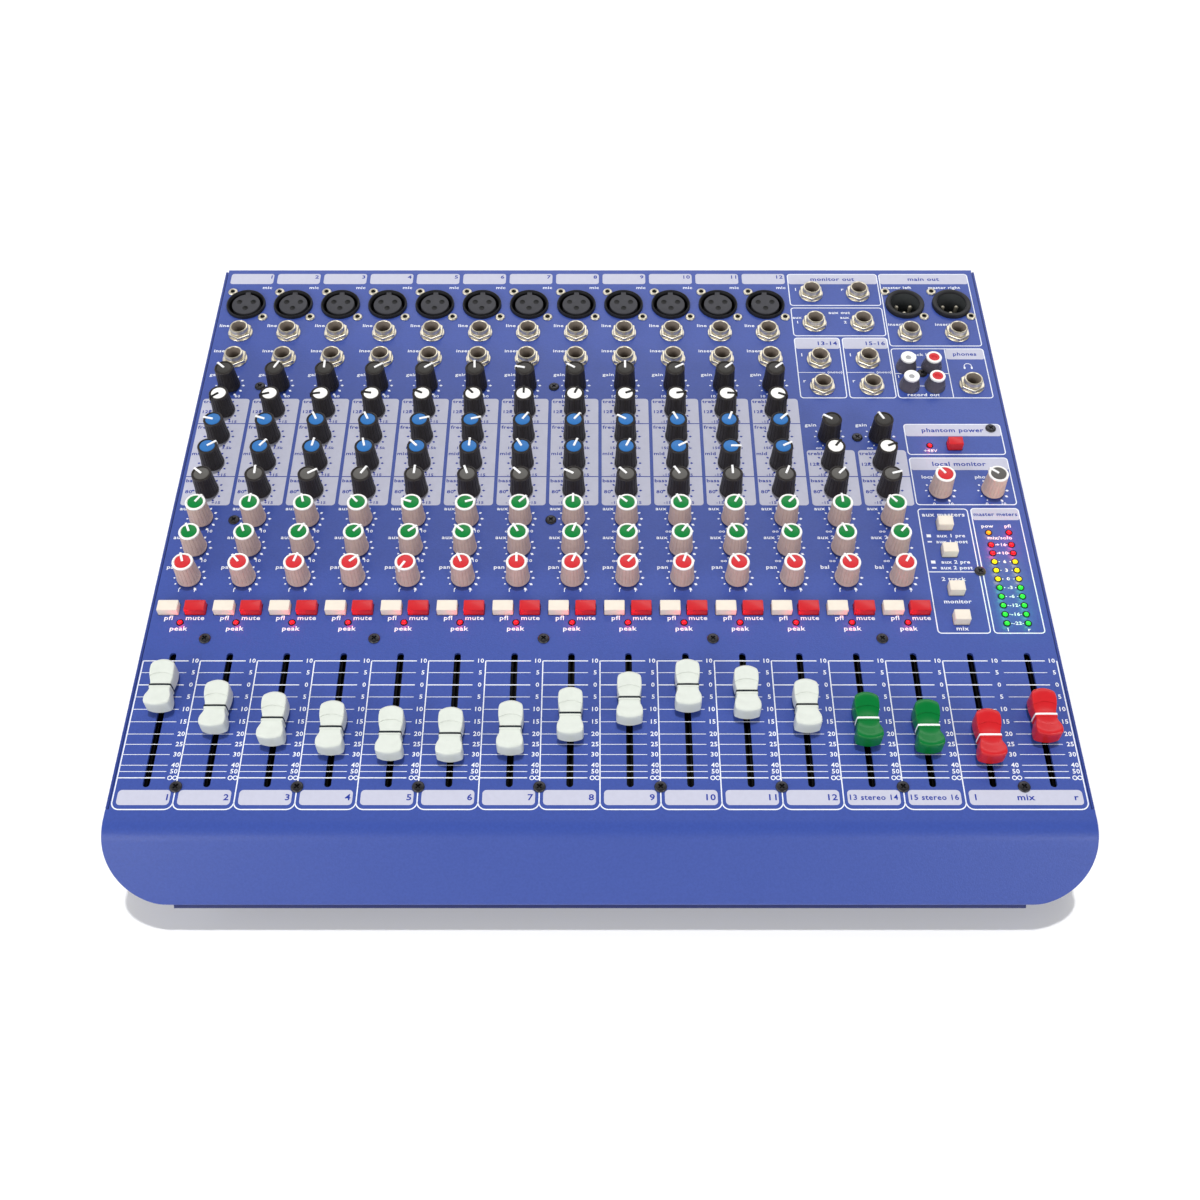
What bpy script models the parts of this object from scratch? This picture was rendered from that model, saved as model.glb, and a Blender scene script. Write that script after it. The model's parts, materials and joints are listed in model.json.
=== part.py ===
"""Sixteen-strip table-top mixing console.

A folded steel top panel lies on a shallow steel tray and slopes up towards the back. Twelve mono strips,
two stereo strips and a master section carry knobs, buttons, faders and sockets, and the pots, fader tracks,
boards and power supply hang below the panel or stand on the tray.

World frame: +X to the operator's right, +Y away from the operator, +Z up, origin on the table below the
middle of the console. Panel frame: x as in the world, v up the slope from the front bend, n out of the panel.
"""

import math

import bmesh
import bpy
from mathutils import Matrix, Vector

MM = 0.001

# Overall size
WIDTH = 443 * MM
PANEL_LENGTH = 356 * MM
PANEL_TILT = math.radians(6.8)
PANEL_Y = -163.22 * MM
PANEL_Z = 49.2 * MM
SHEET = 1.5 * MM
WALL = 1.2 * MM
GAP = 0.3 * MM

# Folded front of the top panel
BEND_RADIUS = 13 * MM
BEND_ANGLE = math.radians(45)
APRON_LENGTH = 30 * MM
APRON_CORNER = 30 * MM
HEM_DEPTH = 8 * MM
FULL_WIDTH_FROM = 5 * MM
PANEL_HALF = 220.0 * MM
BEND_STEPS = 4
CORNER_STEPS = 8
# How far a cutting shape runs past the face it cuts
BEYOND = 5 * MM

# Tray
FOOT_HEIGHT = 9.7 * MM
FOOT_RADIUS = 10 * MM
TRAY_BOTTOM = 10 * MM
TRAY_BACK = 188.6 * MM
TRAY_FRONT = -170.4 * MM
TRAY_FRONT_TOP = 38 * MM
TRAY_CHAMFER = 5 * MM
FOOT_X = 190 * MM
FOOT_Y = {"front": -145 * MM, "back": 165 * MM}
FOOT_CHAMFER = 1.5 * MM
SIDE_SCREW_V = [v * MM for v in (10.5, 121.6, 231.6, 342.5)]
SIDE_SCREW_N = -5 * MM
SIDE_SCREW = 3.4 * MM
SIDE_SCREW_PROUD = 0.8 * MM

# Strips, across and up the panel
PITCH = 27.4 * MM
STRIPS = 16
MONO = 12
ROW_STEP = 18.7 * MM
FIRST_ROW_V = 132.0 * MM
KNOB_ROWS = ("pan", "aux2", "aux1", "bass", "mid", "freq", "treble", "gain")
ROW_V = {name: FIRST_ROW_V + i * ROW_STEP for i, name in enumerate(KNOB_ROWS)}
TAN_ROWS = ("pan", "aux1", "aux2")
BUTTON_V = 113.0 * MM
BUTTON_X = 6.6 * MM
XLR_V = 326.4 * MM
LINE_V = 303.8 * MM
INSERT_V = 283.3 * MM

# Knobs
KNOB_BASE = 6.0 * MM
KNOB_TOP = 5.05 * MM
KNOB_FOOT = 0.6 * MM
KNOB_HEIGHT = 14.4 * MM
KNOB_CHAMFER = 0.5 * MM
SHAFT = 1.5 * MM
SHAFT_HOLE = 2.1 * MM
SHAFT_LAP = 1 * MM
POT_TOP = -3.6 * MM
POT_BOTTOM = -12.5 * MM
POT_HALF = 5.5 * MM
POINTER_WIDTH = 1.0 * MM
POINTER_DEEP = 2 * MM
POINTER_PROUD = 0.4 * MM
# Pointer settings of the knobs that turn, in degrees clockwise from the top of the dial
STRIP_ONE = {
    "gain": -46,
    "treble": -130,
    "freq": -77,
    "mid": 53,
    "bass": -50,
    "aux1": 31,
    "aux2": -24,
    "pan": -19,
}
MASTER_KNOBS = {"local_monitor_knob": (178.1 * MM, -34), "phones_knob": (205.5 * MM, -50)}

# Faders
SLOT_LOW = 15.9 * MM
SLOT_HIGH = 87.7 * MM
SLOT_WIDTH = 3.2 * MM
CAP_LENGTH = 25 * MM
CAP_WIDTH = 11.4 * MM
CAP_LIFT = 2.4 * MM
CAP_TAPER = 0.96
# Half of a fader cap, from its end to its middle: place along it, half width, height
CAP_SECTIONS = ((1.0, 0.46, 9.2 * MM), (0.88, 0.5, 11.4 * MM), (0.35, 0.46, 9.2 * MM), (0, 0.42, 9.4 * MM))
LEVER_HALF = (0.6 * MM, 4 * MM)
LEVER_TOP = 4 * MM
LEVER_BOTTOM = -9 * MM
TRACK_HALF = (4 * MM, 38 * MM)
# Where each fader stands along its slot, in millimetres from the front bend
FADER_MM = (64.9, 53.6, 47.2, 42.5, 39.7, 39.0, 42.5, 49.7, 58.1, 65.0, 61.5, 54.2, 47.1, 43.3, 38.3, 49.1)
FADER_NAMES = [f"fader_{i + 1}" for i in range(MONO)]
FADER_NAMES += ["fader_13_14", "fader_15_16", "fader_left", "fader_right"]

# Buttons
BUTTON_SIZE = (10.0 * MM, 6.2 * MM, 4.0 * MM)
SMALL_BUTTON = (7.7 * MM, 6.0 * MM, 4.7 * MM)
PHANTOM_BUTTON = (7.7 * MM, 5.5 * MM, 4.7 * MM)
BUTTON_FOOT = -5.5 * MM
SWITCH_TOP = -8.5 * MM
SWITCH_HALF_V = 3.4 * MM
SWITCH_LAP = 0.5 * MM
MASTER_BUTTONS = {
    "aux1_listen_button": (176.9 * MM, 165.2 * MM),
    "aux2_listen_button": (176.9 * MM, 148.1 * MM),
    "two_track_monitor_button": (176.9 * MM, 124.5 * MM),
    "mix_monitor_button": (176.9 * MM, 107.1 * MM),
}
PHANTOM_AT = (190.1 * MM, 218.9 * MM)

# Sockets
JACK_NUT = 6.85 * MM
JACK_HEIGHT = 5.6 * MM
JACK_BARREL = 5.0 * MM
JACK_BORE = 3.175 * MM
JACK_DEPTH = -27 * MM
JACK_LAND = 3 * MM
JACK_CHAMFER = 1.6 * MM
JACK_TOP = -2 * MM
JACK_HALF = 7 * MM
BARREL_FOOT = -4 * MM
XLR_RING = 11 * MM
XLR_BARREL = 9.9 * MM
XLR_HEIGHT = 2.3 * MM
XLR_SIDES = 8
XLR_CHAMFER = 0.6 * MM
MALE_EXTRA = 0.8 * MM
XLR_DEPTH = -22 * MM
XLR_BAR = (XLR_DEPTH - 1 * MM, XLR_DEPTH + 4 * MM)
FEMALE_HALF = (10 * MM, 9 * MM)
MALE_HALF = (9 * MM, 9 * MM)
CUP_BORE = 9.7 * MM
CUP_DEPTH = -13 * MM
PIN_CIRCLE = 4.1 * MM
PIN_HALF = 1.1 * MM
PIN_TOP = -2.4 * MM
PIN_LAP = 1 * MM
PIN_ANGLES = [math.radians(a) for a in (25, 155, 270)]
RCA_RADIUS = 4 * MM
RCA_HEIGHT = 8.5 * MM
RCA_CHAMFER = (0.5 * MM, 1 * MM)
RCA_SIDES = 8
RCA_HALF = (5 * MM, 5 * MM)
RCA_DEPTH = -11 * MM
STEREO_STRIPS = (12, 13)
STEREO_JACK_V = [v * MM for v in (335.9, 311.5, 282.4, 262.2)]
MAIN_X = (177 * MM, 204 * MM)
MAIN_XLR_V = 326.6 * MM
MAIN_INSERT_V = 303.3 * MM
PHONES_JACK = (206.3 * MM, 263.3 * MM)
RCA_X = (171.5 * MM, 185.7 * MM)
RCA_V = (276.9 * MM, 262.6 * MM)

# Level meter
LED_X = (199.0 * MM, 209.4 * MM)
LED_V = [(104.7 + 5.33 * k) * MM for k in range(10)] + [160.4 * MM]
LED_HALF = 1.5 * MM
LED_TOP = 1 * MM
METER_BOARD_TOP = -8 * MM
METER_EDGE = 4 * MM

# Power inlet with its rocker switch, in the back wall
INLET_X = 150 * MM
INLET_Z = 45 * MM
INLET_FLANGE = (26 * MM, 15 * MM)
INLET_FLANGE_THICK = 1.6 * MM
INLET_BODY = (23 * MM, 13 * MM)
INLET_DEPTH = 22 * MM
INLET_LAP = 0.5 * MM
CAVITY_X = INLET_X - 9.5 * MM
CAVITY_HALF = (12 * MM, 8 * MM)
CAVITY_DEPTH = 16 * MM
BLADE_HALF = (1 * MM, 2 * MM)
BLADE_LENGTH = 13 * MM
BLADES = ((-7 * MM, -1 * MM), (0, 3.5 * MM), (7 * MM, -1 * MM))
ROCKER_X = INLET_X + 14.5 * MM
ROCKER_Y = 185.6 * MM
ROCKER_TILT = math.radians(10)
ROCKER_HALF = 6.4 * MM
ROCKER_OPENING = (6.8 * MM, 10.4 * MM)
ROCKER_OUTLINE = ((-4, -9), (1.8, -9.6), (1.2, 0), (1.8, 9.6), (-4, 9))

# Boards and power supply
BOARD_HALF = 214 * MM
MAIN_BOARD_V = (99 * MM, 272 * MM)
MAIN_BOARD_N = (-14.6 * MM, -13 * MM)
JACK_NOTCH_V = (254 * MM, 280 * MM)
JACK_NOTCH_N = (-20 * MM, -5 * MM)
JACK_NOTCH_SIDE = 8 * MM
FADER_BOARD_V = (8 * MM, 94 * MM)
FADER_BOARD_N = (-19.6 * MM, -18 * MM)
TRACK_FOOT = -18.5 * MM
SUPPLY = ((60 * MM, 205 * MM), (60 * MM, 160 * MM))
SUPPLY_HEIGHT = 26 * MM
TRANSFORMER = ((70 * MM, 120 * MM), (75 * MM, 125 * MM))
TRANSFORMER_FROM = 20 * MM
TRANSFORMER_TO = 38 * MM


def strip_x(i):
    return (i - (STRIPS - 1) / 2) * PITCH


# Builders for closed shapes inside one bmesh


def add_box(bm, x, y, z):
    corners = [bm.verts.new((a, b, c)) for c in z for b in y for a in x]
    faces = ((0, 2, 3, 1), (4, 5, 7, 6), (0, 1, 5, 4), (2, 6, 7, 3), (0, 4, 6, 2), (1, 3, 7, 5))
    for face in faces:
        bm.faces.new([corners[k] for k in face])


def add_block(bm, centre, half, z):
    add_box(bm, (centre[0] - half[0], centre[0] + half[0]), (centre[1] - half[1], centre[1] + half[1]), z)


def ring(bm, centre, radius, sides, z, turn=0.0):
    """A loop of vertices whose flat sides, not corners, lie at the radius."""
    out = radius / math.cos(math.pi / sides)
    angles = [turn + math.tau * (k + 0.5) / sides for k in range(sides)]
    return [bm.verts.new((centre[0] + out * math.cos(a), centre[1] + out * math.sin(a), z)) for a in angles]


def join_rings(bm, low, high):
    for k in range(len(low)):
        m = (k + 1) % len(low)
        bm.faces.new((low[k], low[m], high[m], high[k]))


def add_turned(bm, centre, profile, sides, turn=0.0):
    """A solid of revolution from (radius, height) pairs that run from its lowest ring to its highest."""
    rings = [ring(bm, centre, r, sides, z, turn) for r, z in profile]
    for low, high in zip(rings, rings[1:]):
        join_rings(bm, low, high)
    bm.faces.new(rings[0][::-1])
    bm.faces.new(rings[-1])


def add_prism(bm, centre, radius, sides, z, turn=0.0):
    add_turned(bm, centre, ((radius, z[0]), (radius, z[1])), sides, turn)


def add_outline(bm, outline, x):
    """A (y, z) outline, anticlockwise seen from +X, stretched between two x values."""
    left = [bm.verts.new((x[0], y, z)) for y, z in outline]
    right = [bm.verts.new((x[1], y, z)) for y, z in outline]
    bm.faces.new(left[::-1])
    bm.faces.new(right)
    for k in range(len(left)):
        m = (k + 1) % len(left)
        bm.faces.new((left[k], left[m], right[m], right[k]))


# Objects


def material(name, colour, roughness, metallic=0.0):
    found = bpy.data.materials.get(name)
    if found:
        return found
    made = bpy.data.materials.new(name)
    made.use_nodes = True
    shader = made.node_tree.nodes["Principled BSDF"]
    shader.inputs["Base Color"].default_value = (*colour, 1)
    shader.inputs["Roughness"].default_value = roughness
    shader.inputs["Metallic"].default_value = metallic
    return made


def blue_paint():
    return material("blue_paint", (0.085, 0.13, 0.46), 0.42)


def tray_paint():
    return material("tray_paint", (0.06, 0.09, 0.34), 0.45)


def nickel():
    return material("nickel", (0.72, 0.70, 0.66), 0.28, 1.0)


def black_plastic():
    return material("black_plastic", (0.02, 0.02, 0.022), 0.45)


def black_knob():
    return material("black_knob", (0.03, 0.028, 0.025), 0.55)


def tan_knob():
    return material("tan_knob", (0.42, 0.36, 0.30), 0.55)


def white_cap():
    return material("white_cap", (0.80, 0.83, 0.79), 0.35)


def green_cap():
    return material("green_cap", (0.01, 0.24, 0.05), 0.35)


def red_cap():
    return material("red_cap", (0.62, 0.02, 0.02), 0.35)


def ivory_plastic():
    return material("ivory_plastic", (0.88, 0.83, 0.72), 0.35)


def board_green():
    return material("board_green", (0.02, 0.13, 0.06), 0.5)


def power_supply_steel():
    return material("zinc_steel", (0.58, 0.58, 0.56), 0.4, 1.0)


def foot_rubber():
    return material("foot_rubber", (0.02, 0.02, 0.02), 0.85)


def lens_plastic():
    return material("lens_plastic", (0.75, 0.14, 0.05), 0.2)


def finish_mesh(bm, name):
    bmesh.ops.recalc_face_normals(bm, faces=bm.faces)
    mesh = bpy.data.meshes.new(name)
    bm.to_mesh(mesh)
    bm.free()
    return mesh


def place(name, bm, finish, at=(0, 0, 0), parent=None):
    made = bpy.data.objects.new(name, finish_mesh(bm, name))
    bpy.context.scene.collection.objects.link(made)
    made.location = at
    made.parent = parent
    if finish:
        made.data.materials.append(finish)
    return made


def combine(target, bm, operation, parent=None, at=(0, 0, 0)):
    """Cuts the closed shapes of a bmesh from the target, or joins them to it."""
    helper = place(f"{target.name}_{operation.lower()}_{len(target.modifiers)}", bm, None, at, parent)
    helper.hide_render = True
    helper.display_type = "WIRE"
    modifier = target.modifiers.new(operation.title(), "BOOLEAN")
    modifier.operation = operation
    modifier.solver = "EXACT"
    modifier.object = helper
    return modifier


def round_shading(made, degrees=50):
    made.data.shade_smooth()
    made.data.set_sharp_from_angle(angle=math.radians(degrees))
    return made


def panel_frame():
    empty = bpy.data.objects.new("panel_frame", None)
    bpy.context.scene.collection.objects.link(empty)
    empty.location = (0, PANEL_Y, PANEL_Z)
    empty.rotation_euler = (PANEL_TILT, 0, 0)
    return empty


def mono_strips():
    return range(MONO)


def all_strips():
    return range(MONO + 2)


def knob_strips(row):
    """Strips that carry a knob in this row: the stereo strips have no treble or gain row of their own."""
    return mono_strips() if row in ("gain", "treble") else all_strips()


def row_finish(row):
    return tan_knob() if row in TAN_ROWS else black_knob()


def master_jacks():
    stereo = [(strip_x(i), v) for i in STEREO_STRIPS for v in STEREO_JACK_V]
    return stereo + [(x, MAIN_INSERT_V) for x in MAIN_X] + [PHONES_JACK]


def jack_places():
    return [(strip_x(i), v) for v in (LINE_V, INSERT_V) for i in mono_strips()] + master_jacks()


# Casing


def front_profile(offset):
    """(v, n) points of the folded sheet's outer face, moved inwards by offset, from the flat to the hem."""
    radius = BEND_RADIUS - offset
    points = []
    for k in range(BEND_STEPS + 1):
        a = BEND_ANGLE * k / BEND_STEPS
        points.append((-radius * math.sin(a), radius * math.cos(a) - BEND_RADIUS))
    down = Vector((-math.cos(BEND_ANGLE), -math.sin(BEND_ANGLE)))
    inward = Vector((math.sin(BEND_ANGLE), -math.cos(BEND_ANGLE)))
    last = Vector(points[-1])
    corner = last + down * (APRON_LENGTH - offset)
    points.append(tuple(corner))
    points.append(tuple(corner + inward * (HEM_DEPTH - offset)))
    return points


def make_top_panel(frame):
    faces = front_profile(0) + front_profile(SHEET)[::-1]
    outline = [(PANEL_LENGTH, -SHEET), (PANEL_LENGTH, 0)] + faces
    bm = bmesh.new()
    add_outline(bm, outline, (-WIDTH / 2, WIDTH / 2))
    panel = place("top_panel", bm, blue_paint(), parent=frame)

    edges = bmesh.new()
    for side in (-1, 1):
        x = sorted((side * PANEL_HALF, side * (WIDTH / 2 + BEYOND)))
        add_box(edges, x, (FULL_WIDTH_FROM, PANEL_LENGTH + BEYOND), (-BEYOND, BEYOND))
    combine(panel, edges, "DIFFERENCE", frame)
    combine(panel, apron_corner_cutters(), "DIFFERENCE", frame)
    combine(panel, panel_openings(), "DIFFERENCE", frame)
    return panel


def apron_corner_cutters():
    """Rounds the apron's two lower corners, and ends the hem where the rounding starts."""
    bm = bmesh.new()
    start = Vector((-BEND_RADIUS * math.sin(BEND_ANGLE), BEND_RADIUS * math.cos(BEND_ANGLE) - BEND_RADIUS))
    down = Vector((-math.cos(BEND_ANGLE), -math.sin(BEND_ANGLE)))
    out = Vector((-math.sin(BEND_ANGLE), math.cos(BEND_ANGLE)))
    centre_x = WIDTH / 2 - APRON_CORNER
    centre_s = APRON_LENGTH - APRON_CORNER
    shape = [
        (centre_x + APRON_CORNER * math.sin(a), centre_s + APRON_CORNER * math.cos(a))
        for a in (math.pi / 2 * k / CORNER_STEPS for k in range(CORNER_STEPS + 1))
    ]
    shape += [(WIDTH / 2 + BEYOND, centre_s), (WIDTH / 2 + BEYOND, APRON_LENGTH + BEYOND)]
    shape += [(centre_x, APRON_LENGTH + BEYOND)]
    for side in (-1, 1):
        layers = []
        for depth in (-HEM_DEPTH - BEYOND, BEYOND):
            layer = []
            for x, s in shape:
                at = start + down * s + out * depth
                layer.append(bm.verts.new((side * x, at.x, at.y)))
            layers.append(layer)
        join_rings(bm, layers[0], layers[1])
        bm.faces.new(layers[0])
        bm.faces.new(layers[1])
    return bm


def panel_openings():
    """Every hole through the top panel: shafts, slots, buttons, lamps and sockets."""
    bm = bmesh.new()
    through = (-SHEET - BEYOND, BEYOND)
    for row, v in ROW_V.items():
        for i in knob_strips(row):
            add_prism(bm, (strip_x(i), v), SHAFT_HOLE, 4, through)
    for x, _ in MASTER_KNOBS.values():
        add_prism(bm, (x, ROW_V["bass"]), SHAFT_HOLE, 4, through)
    for i in range(STRIPS):
        middle = (strip_x(i), (SLOT_LOW + SLOT_HIGH) / 2)
        add_block(bm, middle, (SLOT_WIDTH / 2, (SLOT_HIGH - SLOT_LOW) / 2), through)
    for i in all_strips():
        for side in (-1, 1):
            add_button_hole(bm, (strip_x(i) + side * BUTTON_X, BUTTON_V), BUTTON_SIZE, through)
    for at in MASTER_BUTTONS.values():
        add_button_hole(bm, at, SMALL_BUTTON, through)
    add_button_hole(bm, PHANTOM_AT, PHANTOM_BUTTON, through)
    for x in LED_X:
        for v in LED_V:
            add_prism(bm, (x, v), LED_HALF + GAP, 4, through)
    for at in jack_places():
        add_prism(bm, at, JACK_BARREL + GAP, 6, through)
    for i in mono_strips():
        add_prism(bm, (strip_x(i), XLR_V), XLR_BARREL + GAP, XLR_SIDES, through)
    for x in MAIN_X:
        add_prism(bm, (x, MAIN_XLR_V), XLR_BARREL + MALE_EXTRA + GAP, XLR_SIDES, through)
    for x in RCA_X:
        for v in RCA_V:
            add_prism(bm, (x, v), RCA_RADIUS + GAP, RCA_SIDES, through)
    return bm


def add_button_hole(bm, at, size, through):
    add_block(bm, at, (size[0] / 2 + GAP, size[1] / 2 + GAP), through)


def world_of_panel(v, n):
    y = v * math.cos(PANEL_TILT) - n * math.sin(PANEL_TILT) + PANEL_Y
    return y, v * math.sin(PANEL_TILT) + n * math.cos(PANEL_TILT) + PANEL_Z


def make_tray(frame):
    """Bottom, two sides, back and front, folded from one sheet: a solid of the side outline, hollowed out."""
    under = BEND_RADIUS - SHEET - GAP
    side = FULL_WIDTH_FROM + GAP
    back_top = (TRAY_BACK - PANEL_Y) / math.cos(PANEL_TILT)
    outline = [(TRAY_BACK, TRAY_BOTTOM), world_of_panel(back_top, 0), world_of_panel(side, 0)]
    outline.append(world_of_panel(side, under - BEND_RADIUS))
    for k in range(1, BEND_STEPS):
        a = BEND_ANGLE * k / BEND_STEPS
        outline.append(world_of_panel(-under * math.sin(a), under * math.cos(a) - BEND_RADIUS))
    outline += [(TRAY_FRONT, TRAY_FRONT_TOP), (TRAY_FRONT, TRAY_BOTTOM + TRAY_CHAMFER)]
    outline.append((TRAY_FRONT + TRAY_CHAMFER, TRAY_BOTTOM))
    bm = bmesh.new()
    add_outline(bm, outline, (-WIDTH / 2, WIDTH / 2))
    tray = place("chassis_tray", bm, tray_paint())

    inside = bmesh.new()
    half = WIDTH / 2 - WALL
    add_box(inside, (-half, half), (TRAY_FRONT + WALL, TRAY_BACK - WALL), (TRAY_BOTTOM + WALL, PANEL_LENGTH))
    combine(tray, inside, "DIFFERENCE")
    above = bmesh.new()
    add_box(above, (-half, half), (FULL_WIDTH_FROM, PANEL_LENGTH + 2 * BEYOND), (-SHEET - GAP, BEYOND))
    combine(tray, above, "DIFFERENCE", frame)
    inlet = bmesh.new()
    hole = (INLET_BODY[0] + GAP, INLET_BODY[1] + GAP)
    add_wall_box(inlet, (INLET_X, INLET_Z), hole, (TRAY_BACK - BEYOND, TRAY_BACK + BEYOND))
    combine(tray, inlet, "DIFFERENCE")
    combine(tray, side_screws(), "UNION", frame)
    return tray


def side_screws():
    """Flat-topped screw heads that stand a little proud of the tray's side walls."""
    bm = bmesh.new()
    for side in (-1, 1):
        x = sorted((side * (WIDTH / 2 - WALL / 2), side * (WIDTH / 2 + SIDE_SCREW_PROUD)))
        for v in SIDE_SCREW_V:
            points = [math.tau * (k + 0.5) / 8 for k in range(8)]
            outline = [(v + SIDE_SCREW * math.cos(a), SIDE_SCREW_N + SIDE_SCREW * math.sin(a)) for a in points]
            add_outline(bm, outline, x)
    return bm


def make_feet():
    profile = ((FOOT_RADIUS - FOOT_CHAMFER, 0), (FOOT_RADIUS, FOOT_CHAMFER), (FOOT_RADIUS, FOOT_HEIGHT))
    for side, x in (("left", -FOOT_X), ("right", FOOT_X)):
        for end, y in FOOT_Y.items():
            bm = bmesh.new()
            add_turned(bm, (0, 0), profile, 12)
            round_shading(place(f"foot_{end}_{side}", bm, foot_rubber(), (x, y, 0)))


# Inside


def make_boards(frame):
    bm = bmesh.new()
    add_box(bm, (-BOARD_HALF, BOARD_HALF), MAIN_BOARD_V, MAIN_BOARD_N)
    board = place("main_board", bm, board_green(), parent=frame)
    notches = bmesh.new()
    for left, right in ((strip_x(STEREO_STRIPS[0]), strip_x(STEREO_STRIPS[1])), (PHONES_JACK[0],) * 2):
        add_box(notches, (left - JACK_NOTCH_SIDE, right + JACK_NOTCH_SIDE), JACK_NOTCH_V, JACK_NOTCH_N)
    combine(board, notches, "DIFFERENCE", frame)

    bm = bmesh.new()
    add_box(bm, (-BOARD_HALF, BOARD_HALF), FADER_BOARD_V, FADER_BOARD_N)
    faders = place("fader_board", bm, board_green(), parent=frame)
    tracks = bmesh.new()
    for i in range(STRIPS):
        middle = (strip_x(i), (SLOT_LOW + SLOT_HIGH) / 2)
        add_block(tracks, middle, TRACK_HALF, (TRACK_FOOT, LEVER_BOTTOM - GAP))
    combine(faders, tracks, "UNION", frame)


def make_power_supply():
    bm = bmesh.new()
    low = TRAY_BOTTOM + WALL + GAP
    add_box(bm, *SUPPLY, (low, low + SUPPLY_HEIGHT))
    supply = place("power_supply", bm, power_supply_steel())
    transformer = bmesh.new()
    add_box(transformer, *TRANSFORMER, (low + TRANSFORMER_FROM, low + TRANSFORMER_TO))
    combine(supply, transformer, "UNION")


# Sockets


def make_socket_row(name, frame, places, finish, body, body_half, shape):
    """Sockets on one bar below the panel. shape(bm, at) adds one socket's closed outer shape."""
    bm = bmesh.new()
    xs = [at[0] for at in places]
    vs = [at[1] for at in places]
    add_box(
        bm,
        (min(xs) - body_half[0], max(xs) + body_half[0]),
        (min(vs) - body_half[1], max(vs) + body_half[1]),
        body,
    )
    row = place(name, bm, finish, parent=frame)
    shapes = bmesh.new()
    for at in places:
        shape(shapes, at)
    combine(row, shapes, "UNION", frame)
    return round_shading(row)


def jack_shape(bm, at):
    profile = (
        (JACK_BARREL, BARREL_FOOT),
        (JACK_BARREL, GAP),
        (JACK_NUT, GAP),
        (JACK_NUT, JACK_HEIGHT - JACK_CHAMFER),
        (JACK_BARREL, JACK_HEIGHT),
    )
    add_turned(bm, at, profile, 6)


def bore_jacks(row, frame, places):
    bores = bmesh.new()
    for at in places:
        add_prism(bores, at, JACK_BORE, 6, (JACK_DEPTH + JACK_LAND, JACK_HEIGHT + BEYOND))
    combine(row, bores, "DIFFERENCE", frame)


def make_jacks(frame):
    bar = (JACK_DEPTH, JACK_TOP)
    for name, v in (("line_jack_row", LINE_V), ("insert_jack_row", INSERT_V)):
        places = [(strip_x(i), v) for i in mono_strips()]
        row = make_socket_row(name, frame, places, nickel(), bar, (JACK_HALF, JACK_HALF), jack_shape)
        bore_jacks(row, frame, places)
    make_master_jacks(frame, bar)


def make_master_jacks(frame, bar):
    """The stereo strips' jacks on one block, with arms to the main inserts and the headphone jack."""
    places = master_jacks()
    half = JACK_HALF
    left, right = strip_x(STEREO_STRIPS[0]) - half, strip_x(STEREO_STRIPS[1]) + half
    bm = bmesh.new()
    add_box(bm, (left, right), (STEREO_JACK_V[-1] - half, STEREO_JACK_V[0] + half), bar)
    row = place("master_jack_block", bm, nickel(), parent=frame)
    insert_arm = bmesh.new()
    add_box(insert_arm, (right - half, MAIN_X[1] + half), (MAIN_INSERT_V - half, MAIN_INSERT_V + half), bar)
    combine(row, insert_arm, "UNION", frame)
    phones_arm = bmesh.new()
    x, v = PHONES_JACK
    add_box(phones_arm, (x - half, x + half), (v - half, MAIN_INSERT_V), bar)
    combine(row, phones_arm, "UNION", frame)
    shapes = bmesh.new()
    for at in places:
        jack_shape(shapes, at)
    combine(row, shapes, "UNION", frame)
    bore_jacks(row, frame, places)
    round_shading(row)


def female_shape(bm, at):
    profile = (
        (XLR_BARREL, XLR_DEPTH),
        (XLR_BARREL, GAP),
        (XLR_RING, GAP),
        (XLR_RING, XLR_HEIGHT - XLR_CHAMFER),
        (XLR_RING - XLR_CHAMFER, XLR_HEIGHT),
    )
    add_turned(bm, at, profile, XLR_SIDES)


def male_shape(bm, at):
    ring_radius = XLR_RING + MALE_EXTRA
    barrel = XLR_BARREL + MALE_EXTRA
    profile = ((barrel, XLR_DEPTH), (barrel, GAP), (ring_radius, GAP), (ring_radius, XLR_HEIGHT))
    add_turned(bm, at, profile, XLR_SIDES)


def make_xlrs(frame):
    places = [(strip_x(i), XLR_V) for i in mono_strips()]
    make_socket_row("xlr_female_row", frame, places, black_plastic(), XLR_BAR, FEMALE_HALF, female_shape)
    places = [(x, MAIN_XLR_V) for x in MAIN_X]
    pair = make_socket_row("xlr_male_pair", frame, places, nickel(), XLR_BAR, MALE_HALF, male_shape)
    cups = bmesh.new()
    pins = bmesh.new()
    for x, v in places:
        add_prism(cups, (x, v), CUP_BORE, XLR_SIDES, (CUP_DEPTH, XLR_HEIGHT + BEYOND))
        for a in PIN_ANGLES:
            at = (x + PIN_CIRCLE * math.cos(a), v + PIN_CIRCLE * math.sin(a))
            add_prism(pins, at, PIN_HALF, 4, (CUP_DEPTH - PIN_LAP, PIN_TOP))
    combine(pair, cups, "DIFFERENCE", frame)
    combine(pair, pins, "UNION", frame)


def rca_shape(bm, at):
    inset, drop = RCA_CHAMFER
    profile = ((RCA_RADIUS, BARREL_FOOT), (RCA_RADIUS, RCA_HEIGHT - drop), (RCA_RADIUS - inset, RCA_HEIGHT))
    add_turned(bm, at, profile, RCA_SIDES)


def make_rcas(frame):
    places = [(x, v) for x in RCA_X for v in RCA_V]
    body = (RCA_DEPTH, -SHEET - GAP)
    make_socket_row("rca_block", frame, places, black_plastic(), body, RCA_HALF, rca_shape)


def add_wall_box(bm, centre, half, y):
    """A box that stands in the back wall, round an (x, z) centre."""
    x, z = centre
    add_box(bm, (x - half[0], x + half[0]), y, (z - half[1], z + half[1]))


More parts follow.
